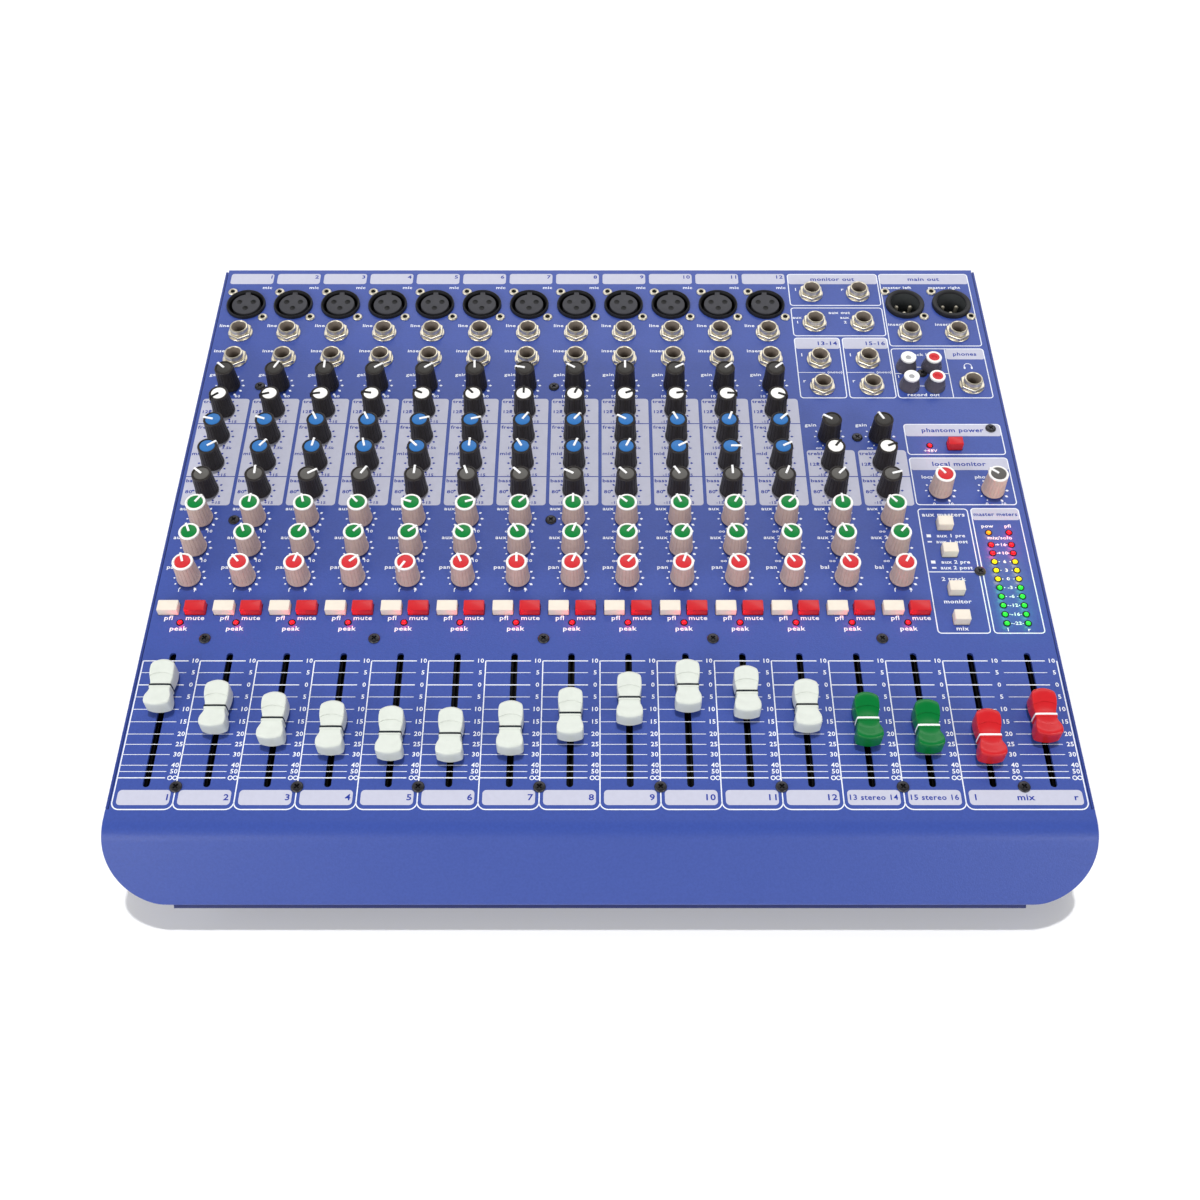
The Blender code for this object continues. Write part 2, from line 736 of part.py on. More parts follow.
def make_power_inlet():
    """Mains inlet and switch housing in one moulding: flange outside the back wall, body through it."""
    face = TRAY_BACK + GAP
    centre = (INLET_X, INLET_Z)
    bm = bmesh.new()
    add_wall_box(bm, centre, INLET_FLANGE, (face, face + INLET_FLANGE_THICK))
    inlet = place("power_inlet", bm, black_plastic())
    body = bmesh.new()
    add_wall_box(body, centre, INLET_BODY, (face - INLET_DEPTH, face + INLET_LAP))
    combine(inlet, body, "UNION")
    pockets = bmesh.new()
    deep = face - CAVITY_DEPTH
    add_wall_box(pockets, (CAVITY_X, INLET_Z), CAVITY_HALF, (deep, face + BEYOND))
    add_wall_box(pockets, (ROCKER_X, INLET_Z), ROCKER_OPENING, (deep, face + BEYOND))
    combine(inlet, pockets, "DIFFERENCE")
    blades = bmesh.new()
    for x, z in BLADES:
        add_wall_box(blades, (CAVITY_X + x, INLET_Z + z), BLADE_HALF, (deep - PIN_LAP, deep + BLADE_LENGTH))
    combine(inlet, blades, "UNION")


def make_rocker():
    """The rocker turns about X through its own origin, and rests with its lower half pressed in."""
    turn = Matrix.Rotation(-ROCKER_TILT, 2)
    points = [turn @ Vector((y * MM, z * MM)) for y, z in ROCKER_OUTLINE]
    bm = bmesh.new()
    add_outline(bm, [tuple(p) for p in points], (-ROCKER_HALF, ROCKER_HALF))
    place("power_rocker", bm, black_plastic(), (ROCKER_X, ROCKER_Y, INLET_Z))


# Controls


def make_knob_rows(frame):
    """Strips 2 to 14: each row of knobs, joined by the bar of pots that they turn on."""
    for row, v in ROW_V.items():
        strips = list(knob_strips(row))
        bm = bmesh.new()
        add_box(
            bm,
            (strip_x(0) - POT_HALF, strip_x(strips[-1]) + POT_HALF),
            (v - POT_HALF, v + POT_HALF),
            (POT_BOTTOM, POT_TOP),
        )
        made = place(f"{row}_knob_row", bm, row_finish(row), parent=frame)
        shafts = bmesh.new()
        knobs = bmesh.new()
        for i in strips[1:]:
            at = (strip_x(i), v)
            add_prism(shafts, at, SHAFT, 4, (POT_TOP - SHAFT_LAP, KNOB_FOOT + SHAFT_LAP))
            add_turned(knobs, at, ((KNOB_BASE, KNOB_FOOT), (KNOB_TOP, KNOB_HEIGHT)), 8)
        combine(made, shafts, "UNION", frame)
        combine(made, knobs, "UNION", frame)
        round_shading(made)


def make_turning_knob(name, frame, x, v, pointer, finish):
    """A knob of its own, with its origin on its axis and its pointer turned to its setting."""
    bm = bmesh.new()
    profile = (
        (SHAFT, POT_TOP + GAP),
        (SHAFT, KNOB_FOOT),
        (KNOB_BASE, KNOB_FOOT),
        (KNOB_TOP, KNOB_HEIGHT - KNOB_CHAMFER),
        (KNOB_TOP - KNOB_CHAMFER, KNOB_HEIGHT),
    )
    add_turned(bm, (0, 0), profile, 10)
    knob = place(name, bm, finish, (x, v, 0), frame)
    knob.rotation_euler = (0, 0, -math.radians(pointer))
    mark = bmesh.new()
    add_box(
        mark,
        (-POINTER_WIDTH / 2, POINTER_WIDTH / 2),
        (0, KNOB_TOP - KNOB_CHAMFER / 2),
        (KNOB_HEIGHT - POINTER_DEEP, KNOB_HEIGHT + POINTER_PROUD),
    )
    combine(knob, mark, "UNION", knob)
    round_shading(knob)


def make_turning_knobs(frame):
    for row, pointer in STRIP_ONE.items():
        make_turning_knob(f"{row}_knob_1", frame, strip_x(0), ROW_V[row], pointer, row_finish(row))
    for name, (x, pointer) in MASTER_KNOBS.items():
        make_turning_knob(name, frame, x, ROW_V["bass"], pointer, tan_knob())


def make_button_row(frame):
    """The listen and mute buttons of strips 2 to 14, joined by the bar of switches that they press."""
    bm = bmesh.new()
    half_x = BUTTON_X + BUTTON_SIZE[0] / 2
    add_box(
        bm,
        (strip_x(0) - half_x, strip_x(STEREO_STRIPS[-1]) + half_x),
        (BUTTON_V - SWITCH_HALF_V, BUTTON_V + SWITCH_HALF_V),
        (POT_BOTTOM, SWITCH_TOP),
    )
    row = place("button_row", bm, ivory_plastic(), parent=frame)
    caps = bmesh.new()
    half = (BUTTON_SIZE[0] / 2, BUTTON_SIZE[1] / 2)
    for i in all_strips()[1:]:
        for side in (-1, 1):
            at = (strip_x(i) + side * BUTTON_X, BUTTON_V)
            add_block(caps, at, half, (SWITCH_TOP - SWITCH_LAP, BUTTON_SIZE[2]))
    combine(row, caps, "UNION", frame)


def make_button(name, frame, at, size, finish):
    bm = bmesh.new()
    add_block(bm, (0, 0), (size[0] / 2, size[1] / 2), (BUTTON_FOOT, size[2]))
    place(name, bm, finish, (*at, 0), frame)


def make_buttons(frame):
    make_button("listen_button_1", frame, (strip_x(0) - BUTTON_X, BUTTON_V), BUTTON_SIZE, ivory_plastic())
    make_button("mute_button_1", frame, (strip_x(0) + BUTTON_X, BUTTON_V), BUTTON_SIZE, red_cap())
    for name, at in MASTER_BUTTONS.items():
        make_button(name, frame, at, SMALL_BUTTON, ivory_plastic())
    make_button("phantom_power_button", frame, PHANTOM_AT, PHANTOM_BUTTON, red_cap())


def make_fader(name, frame, x, v, finish):
    """A waisted cap with a finger scoop on each side of its middle, on a flat lever through the slot."""
    stations = [(-along, wide, high) for along, wide, high in CAP_SECTIONS]
    stations += CAP_SECTIONS[-2::-1]
    bm = bmesh.new()
    loops = []
    for along, wide, high in stations:
        w = wide * CAP_WIDTH
        y = along * CAP_LENGTH / 2
        corners = ((-w, CAP_LIFT), (w, CAP_LIFT), (w * CAP_TAPER, high), (-w * CAP_TAPER, high))
        loops.append([bm.verts.new((a, y, b)) for a, b in corners])
    for low, high in zip(loops, loops[1:]):
        join_rings(bm, low, high)
    bm.faces.new(loops[0][::-1])
    bm.faces.new(loops[-1])
    fader = place(name, bm, finish, (x, v, 0), frame)
    lever = bmesh.new()
    add_block(lever, (0, 0), LEVER_HALF, (LEVER_BOTTOM, LEVER_TOP))
    combine(fader, lever, "UNION", fader)


def make_faders(frame):
    finishes = [white_cap()] * MONO + [green_cap()] * 2 + [red_cap()] * 2
    for i, (name, finish) in enumerate(zip(FADER_NAMES, finishes)):
        make_fader(name, frame, strip_x(i), FADER_MM[i] * MM, finish)


def make_meter(frame):
    """The meter's lamps stand on one board, each in its own hole in the panel."""
    bm = bmesh.new()
    add_box(
        bm,
        (LED_X[0] - METER_EDGE, LED_X[1] + METER_EDGE),
        (LED_V[0] - METER_EDGE, LED_V[-1] + METER_EDGE),
        (POT_BOTTOM, METER_BOARD_TOP),
    )
    meter = place("meter_lamp_block", bm, lens_plastic(), parent=frame)
    lamps = bmesh.new()
    for x in LED_X:
        for v in LED_V:
            add_prism(lamps, (x, v), LED_HALF, 4, (METER_BOARD_TOP - SHAFT_LAP, LED_TOP))
    combine(meter, lamps, "UNION", frame)


def main():
    for existing in list(bpy.data.objects):
        bpy.data.objects.remove(existing, do_unlink=True)
    frame = panel_frame()
    make_tray(frame)
    make_feet()
    make_top_panel(frame)
    make_boards(frame)
    make_power_supply()
    make_power_inlet()
    make_rocker()
    make_xlrs(frame)
    make_jacks(frame)
    make_rcas(frame)
    make_meter(frame)
    make_knob_rows(frame)
    make_turning_knobs(frame)
    make_button_row(frame)
    make_buttons(frame)
    make_faders(frame)


main()
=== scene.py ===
"""Looks of the sixteen-strip mixing console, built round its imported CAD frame.

Shapes are drawn in millimetres on the sloped top panel: x to the operator's right, v up the slope from the
front bend, n out of the panel. The panel's place and tilt come from the frame's own joints.
"""

import json
import math

import bmesh
import bpy
from mathutils import Matrix, Vector


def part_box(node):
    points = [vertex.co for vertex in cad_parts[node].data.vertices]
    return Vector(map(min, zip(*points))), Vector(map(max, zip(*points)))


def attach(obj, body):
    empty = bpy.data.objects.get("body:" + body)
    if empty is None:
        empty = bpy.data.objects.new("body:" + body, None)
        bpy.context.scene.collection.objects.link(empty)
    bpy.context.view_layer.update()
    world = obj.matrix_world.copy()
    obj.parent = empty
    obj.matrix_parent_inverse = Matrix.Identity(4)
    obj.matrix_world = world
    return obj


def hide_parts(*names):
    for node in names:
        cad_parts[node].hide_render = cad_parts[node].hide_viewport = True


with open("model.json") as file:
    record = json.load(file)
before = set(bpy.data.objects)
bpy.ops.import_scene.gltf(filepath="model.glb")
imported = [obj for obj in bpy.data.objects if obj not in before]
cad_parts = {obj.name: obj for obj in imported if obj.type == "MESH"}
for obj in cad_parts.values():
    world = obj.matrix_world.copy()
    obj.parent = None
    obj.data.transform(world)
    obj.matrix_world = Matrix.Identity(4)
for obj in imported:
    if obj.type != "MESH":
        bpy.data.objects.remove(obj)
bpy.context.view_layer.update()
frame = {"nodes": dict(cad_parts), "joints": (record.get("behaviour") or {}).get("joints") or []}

# Panel frame, from the joints
MM = 0.001
JOINT = {joint["name"]: joint for joint in frame["joints"]}
UP = Vector(JOINT["fader_1_slide"]["axis"]).normalized()
TILT = math.atan2(UP.z, UP.y)
PAN_V = 132.0
ORIGIN = Vector(JOINT["pan_knob_1_turn"]["pos_m"])
ORIGIN.x = 0
ORIGIN -= UP * PAN_V * MM
PANEL = Matrix.Translation(ORIGIN) @ Matrix.Rotation(TILT, 4, "X")


def panel_of(point):
    """Panel coordinates, in millimetres, of a point of the row frame."""
    return PANEL.inverted() @ Vector(point) / MM


def middle_of(node):
    low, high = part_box(node)
    return panel_of((low + high) / 2)


STRIPS = 16
MONO = 12
FADERS = [f"fader_{i + 1}" for i in range(MONO)] + ["fader_13_14", "fader_15_16", "fader_left", "fader_right"]
STRIP_X = [middle_of(name).x for name in FADERS]
PITCH = STRIP_X[1] - STRIP_X[0]
KNOB_ROWS = ("pan", "aux2", "aux1", "bass", "mid", "freq", "treble", "gain")
ROW_V = {row: panel_of(JOINT[f"{row}_knob_1_turn"]["pos_m"]).y for row in KNOB_ROWS}
HALF_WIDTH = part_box("top_panel")[1].x / MM

# Folded panel
PANEL_LENGTH = 356.0
PANEL_HALF = 220.0
SHEET = 1.5
BEND_RADIUS = 13.0
BEND_ANGLE = 45  # degrees
APRON_LENGTH = 30.0
APRON_CORNER = 30.0
FOLD_RADIUS = 1.2
HEM_DEPTH = 8.0
WIDE_BELOW = 5.0  # the panel is as wide as the tray below this v
TRAY_FRONT = 0.038  # height of the tray's front wall, in metres
WALL = 1.2
GAP = 0.3
BEND_STEPS = 16
BEYOND = 5.0  # how far a cutter reaches past what it cuts
APRON_OUT = Vector((-math.sin(math.radians(BEND_ANGLE)), math.cos(math.radians(BEND_ANGLE))))
APRON_DOWN = Vector((-APRON_OUT.y, APRON_OUT.x))
APRON_START = Vector((0, -BEND_RADIUS)) + APRON_OUT * BEND_RADIUS

# Places on the panel
XLR_V = 326.4
LINE_V = 303.8
INSERT_V = 283.3
STEREO_JACK_V = (335.9, 311.5, 282.4, 262.2)
MAIN_X = (177.0, 204.0)
MAIN_XLR_V = 326.6
MAIN_INSERT_V = 303.3
CONTACTS = ((-4.0, 1.7), (4.0, 1.7), (0.0, -3.3))
PHONES_JACK = (206.3, 263.3)
RCA_X = (171.5, 185.7)
RCA_V = (276.9, 262.6)
BUTTON_V = 113.0
BUTTON_X = 6.6
BUTTON_HALF = (5.0, 3.1)
BUTTON_HEIGHT = 4.0
BUTTON_FOOT = -5.4
PEAK_V = 105.2
SLOT = (15.9, 87.7, 3.2)  # near end, far end, width
LENS_RADIUS = 1.32
LAMP_HOLE, JACK_HOLE, XLR_HOLE, RCA_HOLE = 1.6, 4.9, 10.2, 3.6  # radii
LED_X = (199.0, 209.4)
LED_V = [104.7 + 5.33 * k for k in range(10)]
STATUS_V = 160.4
PHANTOM_LED = (176.9, 219.1)
MASTER_BUTTONS = {
    "aux1_listen_button": 165.2,
    "aux2_listen_button": 148.1,
    "two_track_monitor_button": 124.5,
    "mix_monitor_button": 107.1,
}
MASTER_BUTTON_X = 176.9
MASTER_BUTTON_HALF = (3.85, 3.0)
MASTER_BUTTON_HEIGHT = 4.7
PHANTOM_BUTTON = (190.1, 218.9)
PHANTOM_BUTTON_HALF = (3.85, 2.75)
KINDS = ((-BUTTON_X, "ivory"), (BUTTON_X, "button_red"))  # the two buttons of a strip
# Screws in line with the strips, as (pitches from the middle, v), and the ones that stand alone
SCREW_ROWS = [(-7 + 3 * k, 95.8) for k in range(5)] + [(-7 + 2 * k, 16.0) for k in range(8)]
LOOSE_SCREWS = (
    *((-188.5, 262.3), (-25.5, 261.9), (-188.7, 168.6), (-25.3, 168.6)),
    *((138.6, 224.8), (211.5, 231.2), (179.9, 272.2), (190.8, 136.0)),
)
SIDE_SCREW_V = (10.5, 121.6, 231.6, 342.5)

# Pointer settings in degrees clockwise from the top, strips 1 to 12 and then the two stereo strips
POINTERS = {
    "gain": (-46, 24, -2, 54, 52, -3, -78, -56, 0, 59, 47, 48),
    "treble": (-130, -106, -98, -80, -63, -40, 0, 22, 68, 80, 93, 114),
    "freq": (-77, -69, -26, -25, 74, 74, 32, 37, -58, -24, 19, 45, -57, -26),
    "mid": (53, 35, 7, -14, -43, 2, -28, 21, 24, 60, 90, 61, 38, 67),
    "bass": (-50, -2, 58, 30, 2, -19, -44, -61, -43, -31, -1, 22, 42, 74),
    "aux1": (31, 2, -16, -41, -71, 73, 42, 0, -47, -22, 28, 42, -2, -38),
    "aux2": (-24, -23, 26, 42, 50, -48, -29, 18, 41, 34, -27, -38, -19, 40),
    "pan": (-19, -40, 14, 46, -150, -22, -2, 21, 40, 18, -31, -32, -29, 29),
}
MASTER_POINTERS = {"local_monitor_knob": (-34, "red_cap"), "phones_knob": (-50, "grey_cap")}


# Materials


def linear(code):
    """A linear colour from a hexadecimal sRGB one."""
    parts = [int(code[k : k + 2], 16) / 255 for k in (0, 2, 4)]
    return [p / 12.92 if p <= 0.04045 else ((p + 0.055) / 1.055) ** 2.4 for p in parts]


def new_material(name):
    made = bpy.data.materials.new(name)
    made.use_nodes = True
    return made, made.node_tree, made.node_tree.nodes["Principled BSDF"]


def add_node(tree, kind, **values):
    node = tree.nodes.new(kind)
    for key, value in values.items():
        if key in node.inputs:
            node.inputs[key].default_value = value
        else:
            setattr(node, key, value)
    return node


def noise_of(tree, scale, detail=2.0):
    """The output of a noise that is fixed to the object."""
    place = tree.nodes.new("ShaderNodeTexCoord")
    noise = add_node(tree, "ShaderNodeTexNoise", Scale=scale, Detail=detail)
    tree.links.new(place.outputs["Object"], noise.inputs["Vector"])
    return noise.outputs["Fac"]


def varied_colour(tree, shader, colour, spread, scale):
    """Base colour that wanders a little either side of the given one."""
    ramp = tree.nodes.new("ShaderNodeValToRGB")
    for element, position, factor in zip(ramp.color_ramp.elements, (0.3, 0.7), (1 - spread, 1 + spread)):
        element.position = position
        element.color = (*[min(1, c * factor) for c in colour], 1)
    tree.links.new(noise_of(tree, scale), ramp.inputs["Fac"])
    tree.links.new(ramp.outputs["Color"], shader.inputs["Base Color"])


def finish(name, colour, gloss, skin=None, **sockets):
    """A material from its colour (code, spread, noise scale), gloss (low and high roughness, noise scale) and
    skin (noise scale, bump strength, bump distance). The sockets are the shader's own."""
    made, tree, shader = new_material(name)
    code, spread, scale = colour
    varied_colour(tree, shader, linear(code), spread, scale)
    low, high, scale = gloss
    wear = add_node(tree, "ShaderNodeMapRange", **{"To Min": low, "To Max": high})
    tree.links.new(noise_of(tree, scale, 4.0), wear.inputs["Value"])
    tree.links.new(wear.outputs["Result"], shader.inputs["Roughness"])
    if skin:
        bump = add_node(tree, "ShaderNodeBump", Strength=skin[1], Distance=skin[2])
        tree.links.new(noise_of(tree, skin[0], 3.0), bump.inputs["Height"])
        tree.links.new(bump.outputs["Normal"], shader.inputs["Normal"])
    for socket, value in sockets.items():
        shader.inputs[socket.replace("_", " ")].default_value = value
    return made


def powder_coat(name, code):
    """Satin powder coat: a fine orange-peel skin with faint colour drift and handling marks."""
    skin = (1500, 0.6, 0.00014)
    return finish(name, (code, 0.06, 900), (0.3, 0.4, 60), skin, Specular_IOR_Level=0.5)


def plastic(name, code, low=0.3, high=0.45, texture=0.12, spread=0.03, coat=0.0):
    """Moulded plastic: spark-eroded grain and slightly uneven gloss."""
    sockets = {"Specular_IOR_Level": 0.3, "Coat_Weight": coat}
    return finish(name, (code, spread, 350), (low, high, 180), (2600, texture, 0.00008), **sockets)


def metal(name, code, low, high, texture=0.06):
    return finish(name, (code, 0.05, 300), (low, high, 400), (1800, texture, 0.00005), Metallic=0.85)


def ink(name, code):
    """Screen-printed ink: flat, with a faint mesh in its gloss."""
    return finish(name, (code, 0.02, 500), (0.42, 0.55, 1500), Specular_IOR_Level=0.2)


def lamp(name, code, strength):
    sockets = {"Emission_Color": (*linear(code), 1), "Emission_Strength": strength}
    return finish(name, (code, 0.05, 800), (0.12, 0.25, 700), **sockets)


# Colour, lowest and highest roughness, strength of the grain, colour spread, clear coat
PLASTICS = {
    "black_body": ("2b2726", 0.36, 0.5, 0.2, 0.1),
    "tan_body": ("ceb6ab", 0.36, 0.5, 0.15, 0.05),
    "dark_cap": ("3c3a38", 0.4, 0.5, 0.1),
    "grey_cap": ("5c5a57", 0.4, 0.5, 0.1),
    "blue_cap": ("316fb0", 0.3, 0.42),
    "green_cap": ("067a36", 0.3, 0.42),
    "red_cap": ("cc3036", 0.3, 0.42),
    "white_cap": ("f6f5f1", 0.3, 0.42),
    "pointer_white": ("f2f2f2", 0.3, 0.4),
    "pointer_black": ("161414", 0.35, 0.45),
    "fader_white": ("d6dbd3", 0.24, 0.36, 0.06, 0.02, 0.12),
    "fader_green": ("067032", 0.24, 0.36, 0.06, 0.03, 0.12),
    "fader_red": ("c8242a", 0.24, 0.36, 0.06, 0.03, 0.12),
    "line_black": ("20262a", 0.4, 0.5),
    "line_white": ("fcfdfd", 0.35, 0.45),
    "ivory": ("e8ded0", 0.25, 0.38, 0.05, 0.02, 0.15),
    "button_red": ("c8262d", 0.25, 0.38, 0.05, 0.03, 0.15),
    "socket_black": ("232326", 0.3, 0.45, 0.12, 0.08),
    "socket_grey": ("3e3e43", 0.4, 0.55, 0.15, 0.06),
    # Near black: the real black of the slot dust strips, and painted shade in holes and recesses (jack bores,
    # screw recesses, rivet and contact holes, the female XLR groove, the gap round each lamp)
    "black_and_painted_hole_shade": ("040405", 0.3, 0.45),
    "bore_grey": ("857a70", 0.4, 0.6),
    # The male cups are glossy black; their colour is lifted to grey as painted sheen and light on the cup
    # walls.
    "cup_grey_painted_sheen": ("4c4f50", 0.15, 0.25),
    "board_black": ("08090a", 0.5, 0.6),
    "rca_grey": ("a9a9ab", 0.3, 0.45),
    "rca_skirt": ("5b5862", 0.22, 0.34),
    "board_green": ("1e5a34", 0.35, 0.5, 0.3, 0.1),
    "rubber": ("171717", 0.75, 0.9, 0.4, 0.1),
}
# Colour, lowest and highest roughness, strength of the grain
METALS = {
    "nickel": ("e2dac6", 0.27, 0.38),
    "dull_steel": ("8d8a84", 0.35, 0.55),
    "screw_black": ("4a494d", 0.28, 0.42, 0.1),
    "zinc": ("b4b6b6", 0.35, 0.5, 0.15),
}
# The lip's paint is a darker copy of the panel blue: painted shade on the hem under the apron.
PAINTS = {"panel_blue": "394e9b", "tray_blue": "2a3c86", "lip_blue_painted_shade": "1d2a68"}
INKS = {"white_ink": "e9ecf4", "lavender_ink": "c0c1d2", "blue_ink": "263a98"}
LAMPS = {"lamp_red": "d01024", "lamp_amber": "e89008", "lamp_yellow": "e8cc10", "lamp_green": "20b834"}
LAMP_GLOW = 0.25

MATERIAL = {name: plastic(name, *look) for name, look in PLASTICS.items()}
MATERIAL.update({name: metal(name, *look) for name, look in METALS.items()})
MATERIAL.update({name: powder_coat(name, code) for name, code in PAINTS.items()})
MATERIAL.update({name: ink(name, code) for name, code in INKS.items()})
MATERIAL.update({name: lamp(name, code, LAMP_GLOW) for name, code in LAMPS.items()})


# Mesh helpers. A Shape gathers faces of several materials, in millimetres, and becomes one piece.


def new_object(name, data):
    made = bpy.data.objects.new(name, data)
    bpy.context.scene.collection.objects.link(made)
    return made


def smooth_but(mesh, angle):
    """Smooth shading with sharp edges where the faces turn by more than the angle, in degrees."""
    mesh.shade_smooth()
    mesh.set_sharp_from_angle(angle=math.radians(angle))


class Shape:
    def __init__(self):
        self.bm = bmesh.new()
        self.materials = []

    def index(self, material):
        if material not in self.materials:
            self.materials.append(material)
        return self.materials.index(material)

    def face(self, verts, material, smooth=False):
        made = self.bm.faces.new(verts)
        made.material_index = self.index(material)
        made.smooth = smooth
        return made

    def loop(self, points):
        return [self.bm.verts.new(p) for p in points]

    def skin(self, loops, material, smooth=True):
        """Quads between loops of equal length, each closed on itself."""
        for low, high in zip(loops, loops[1:]):
            for k in range(len(low)):
                m = (k + 1) % len(low)
                self.face((low[k], low[m], high[m], high[k]), material, smooth)

    def cap(self, loop, material, upwards=True):
        self.face(loop if upwards else loop[::-1], material)

    def box(self, x, v, n, material):
        self.plate([(x[0], v[0]), (x[1], v[0]), (x[1], v[1]), (x[0], v[1])], n, material)

    def plate(self, outline, n, material):
        """A closed plate with the given (x, v) outline, anticlockwise seen from above."""
        low = self.loop([(x, v, n[0]) for x, v in outline])
        high = self.loop([(x, v, n[1]) for x, v in outline])
        self.skin([low, high], material, False)
        self.cap(low, material, False)
        self.cap(high, material)

    def tube(self, outer, inner, n, material):
        """A closed plate between two outlines of as many points each."""
        rings = [self.loop([(x, v, level) for x, v in outline]) for outline in (outer, inner) for level in n]
        outer_low, outer_high, inner_low, inner_high = rings
        self.skin([outer_low, outer_high, inner_high, inner_low, outer_low], material, False)

    def rings(self, at, profile, material, sides, factor=None):
        """A skin through (radius, height) rings round an axis along n. factor(angle) scales the radius."""
        loops = []
        for radius, height in profile:
            points = []
            for k in range(sides):
                a = math.tau * k / sides
                r = radius * (factor(a) if factor else 1)
                points.append((at[0] + r * math.cos(a), at[1] + r * math.sin(a), height))
            loops.append(self.loop(points))
        self.skin(loops, material)
        return loops

    def turned(self, at, sides, *parts, like_next=True):
        """One closed skin from (profile, material) parts. The join of two looks like one of them."""
        last = None
        for profile, material, *factor in parts:
            loops = self.rings(at, profile, material, sides, *factor)
            if last is None:
                self.cap(loops[0], material, False)
            else:
                self.skin([last, loops[0]], material if like_next else before)
            last, before = loops[-1], material
        self.cap(last, material)

    def face_outwards(self):
        bmesh.ops.recalc_face_normals(self.bm, faces=self.bm.faces)

    def mesh(self, name):
        mesh = bpy.data.meshes.new(name)
        bmesh.ops.scale(self.bm, vec=(MM, MM, MM), verts=self.bm.verts)
        self.bm.to_mesh(mesh)
        self.bm.free()
        return mesh

    def piece(self, name, body, place=PANEL, sharp=38):
        mesh = self.mesh(name)
        mesh.set_sharp_from_angle(angle=math.radians(sharp))
        for material in self.materials:
            mesh.materials.append(MATERIAL[material])
        mesh.transform(place)
        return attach(new_object(name, mesh), body)


def arc(x, v, radius, start, end, steps):
    """(x, v) points round part of a circle, from one angle to another, in degrees."""
    turn = [math.radians(start + (end - start) * k / steps) for k in range(steps + 1)]
    return [(x + radius * math.cos(a), v + radius * math.sin(a)) for a in turn]


def circle(at, radius, sides=32):
    return arc(*at, radius, 0, 360, sides)[:-1]


def round_box(x, v, radius, steps=5):
    """Anticlockwise (x, v) points of a rectangle with round corners."""
    left, right, near, far = x[0] + radius, x[1] - radius, v[0] + radius, v[1] - radius
    points = []
    for cx, cv, start in ((right, near, -90), (right, far, 0), (left, far, 90), (left, near, 180)):
        points += arc(cx, cv, radius, start, start + 90, steps)
    return points


def around(x, v, half_x, half_v, radius, steps=5):
    """The same for a rectangle given by its middle and half sizes."""
    return round_box((x - half_x, x + half_x), (v - half_v, v + half_v), radius, steps)


def evaluated_mesh(thing):
    bpy.context.view_layer.update()
    return bpy.data.meshes.new_from_object(thing.evaluated_get(bpy.context.evaluated_depsgraph_get()))


def cut(target, cutter, place=PANEL):
    """Takes a Shape out of a piece's mesh."""
    helper = new_object("cutter", cutter.mesh("cutter"))
    helper.matrix_world = place
    modifier = target.modifiers.new("cut", "BOOLEAN")
    modifier.operation = "DIFFERENCE"
    modifier.solver = "EXACT"
    modifier.object = helper
    mesh = evaluated_mesh(target)
    target.modifiers.clear()
    old = target.data
    target.data = mesh
    bpy.data.meshes.remove(old)
    bpy.data.objects.remove(helper)


# Casing


def bend_profile(offset):
    """(v, n) points of the folded sheet, moved inwards by offset, from the flat to the end of the hem."""
    points = arc(0, -BEND_RADIUS, BEND_RADIUS - offset, 90, 90 + BEND_ANGLE, BEND_STEPS)
    corner = Vector(points[-1]) + APRON_DOWN * (APRON_LENGTH - offset)
    # The fold into the hem has a small radius of its own
    fold = max(FOLD_RADIUS - offset, 0.2)
    points += arc(*(corner - (APRON_DOWN + APRON_OUT) * fold), fold, 90 + BEND_ANGLE, 180 + BEND_ANGLE, 4)
    return points + [tuple(corner - APRON_OUT * (HEM_DEPTH - offset))]


def side_loft(shape, outline, x, material):
    """A (v, n) outline stretched across between two x values."""
    left = shape.loop([(x[0], v, n) for v, n in outline])
    right = shape.loop([(x[1], v, n) for v, n in outline])
    shape.skin([right, left], material)
    shape.cap(left, material)
    shape.cap(right, material, False)
    shape.face_outwards()


def apron_corner_cutter():
    """What lies outside the apron's two round lower corners."""
    cutter = Shape()
    middle, level = HALF_WIDTH - APRON_CORNER, APRON_LENGTH - APRON_CORNER
    outline = arc(middle, level, APRON_CORNER, 90, 0, 24)
    outline += [(HALF_WIDTH + BEYOND, level), (HALF_WIDTH + BEYOND, APRON_LENGTH + BEYOND)]
    outline.append((middle, APRON_LENGTH + BEYOND))
    for side in (-1, 1):
        loops = []
        for depth in (-HEM_DEPTH - BEYOND, BEYOND):
            places = [(x, APRON_START + APRON_DOWN * along + APRON_OUT * depth) for x, along in outline]
            loops.append(cutter.loop([(side * x, at.x, at.y) for x, at in places]))
        cutter.skin(loops, "panel_blue", False)
        cutter.cap(loops[0], "panel_blue", False)
        cutter.cap(loops[1], "panel_blue")
    cutter.face_outwards()
    return cutter


def strips(row):
    return range(MONO if row in ("gain", "treble") else MONO + 2)


def jack_places():
    rows = [(STRIP_X[i], v) for v in (LINE_V, INSERT_V) for i in range(MONO)]
    stereo = [(STRIP_X[i], v) for i in (MONO, MONO + 1) for v in STEREO_JACK_V]
    return rows + stereo + [(x, MAIN_INSERT_V) for x in MAIN_X] + [PHONES_JACK]


def lamp_places():
    """(x, v, material) of every lamp."""
    found = [(STRIP_X[i], PEAK_V, "lamp_red") for i in range(MONO + 2)]
    colours = ["lamp_green"] * 5 + ["lamp_yellow"] * 3 + ["lamp_red"] * 2
    found += [(x, v, c) for x in LED_X for v, c in zip(LED_V, colours)]
    found += [(LED_X[0], STATUS_V, "lamp_amber"), (LED_X[1], STATUS_V, "lamp_red")]
    found.append((*PHANTOM_LED, "lamp_red"))
    return found


def strip_buttons(x):
    """The two buttons of a strip, as add_button takes them."""
    return [(x + side, BUTTON_V, *BUTTON_HALF, BUTTON_HEIGHT, look) for side, look in KINDS]


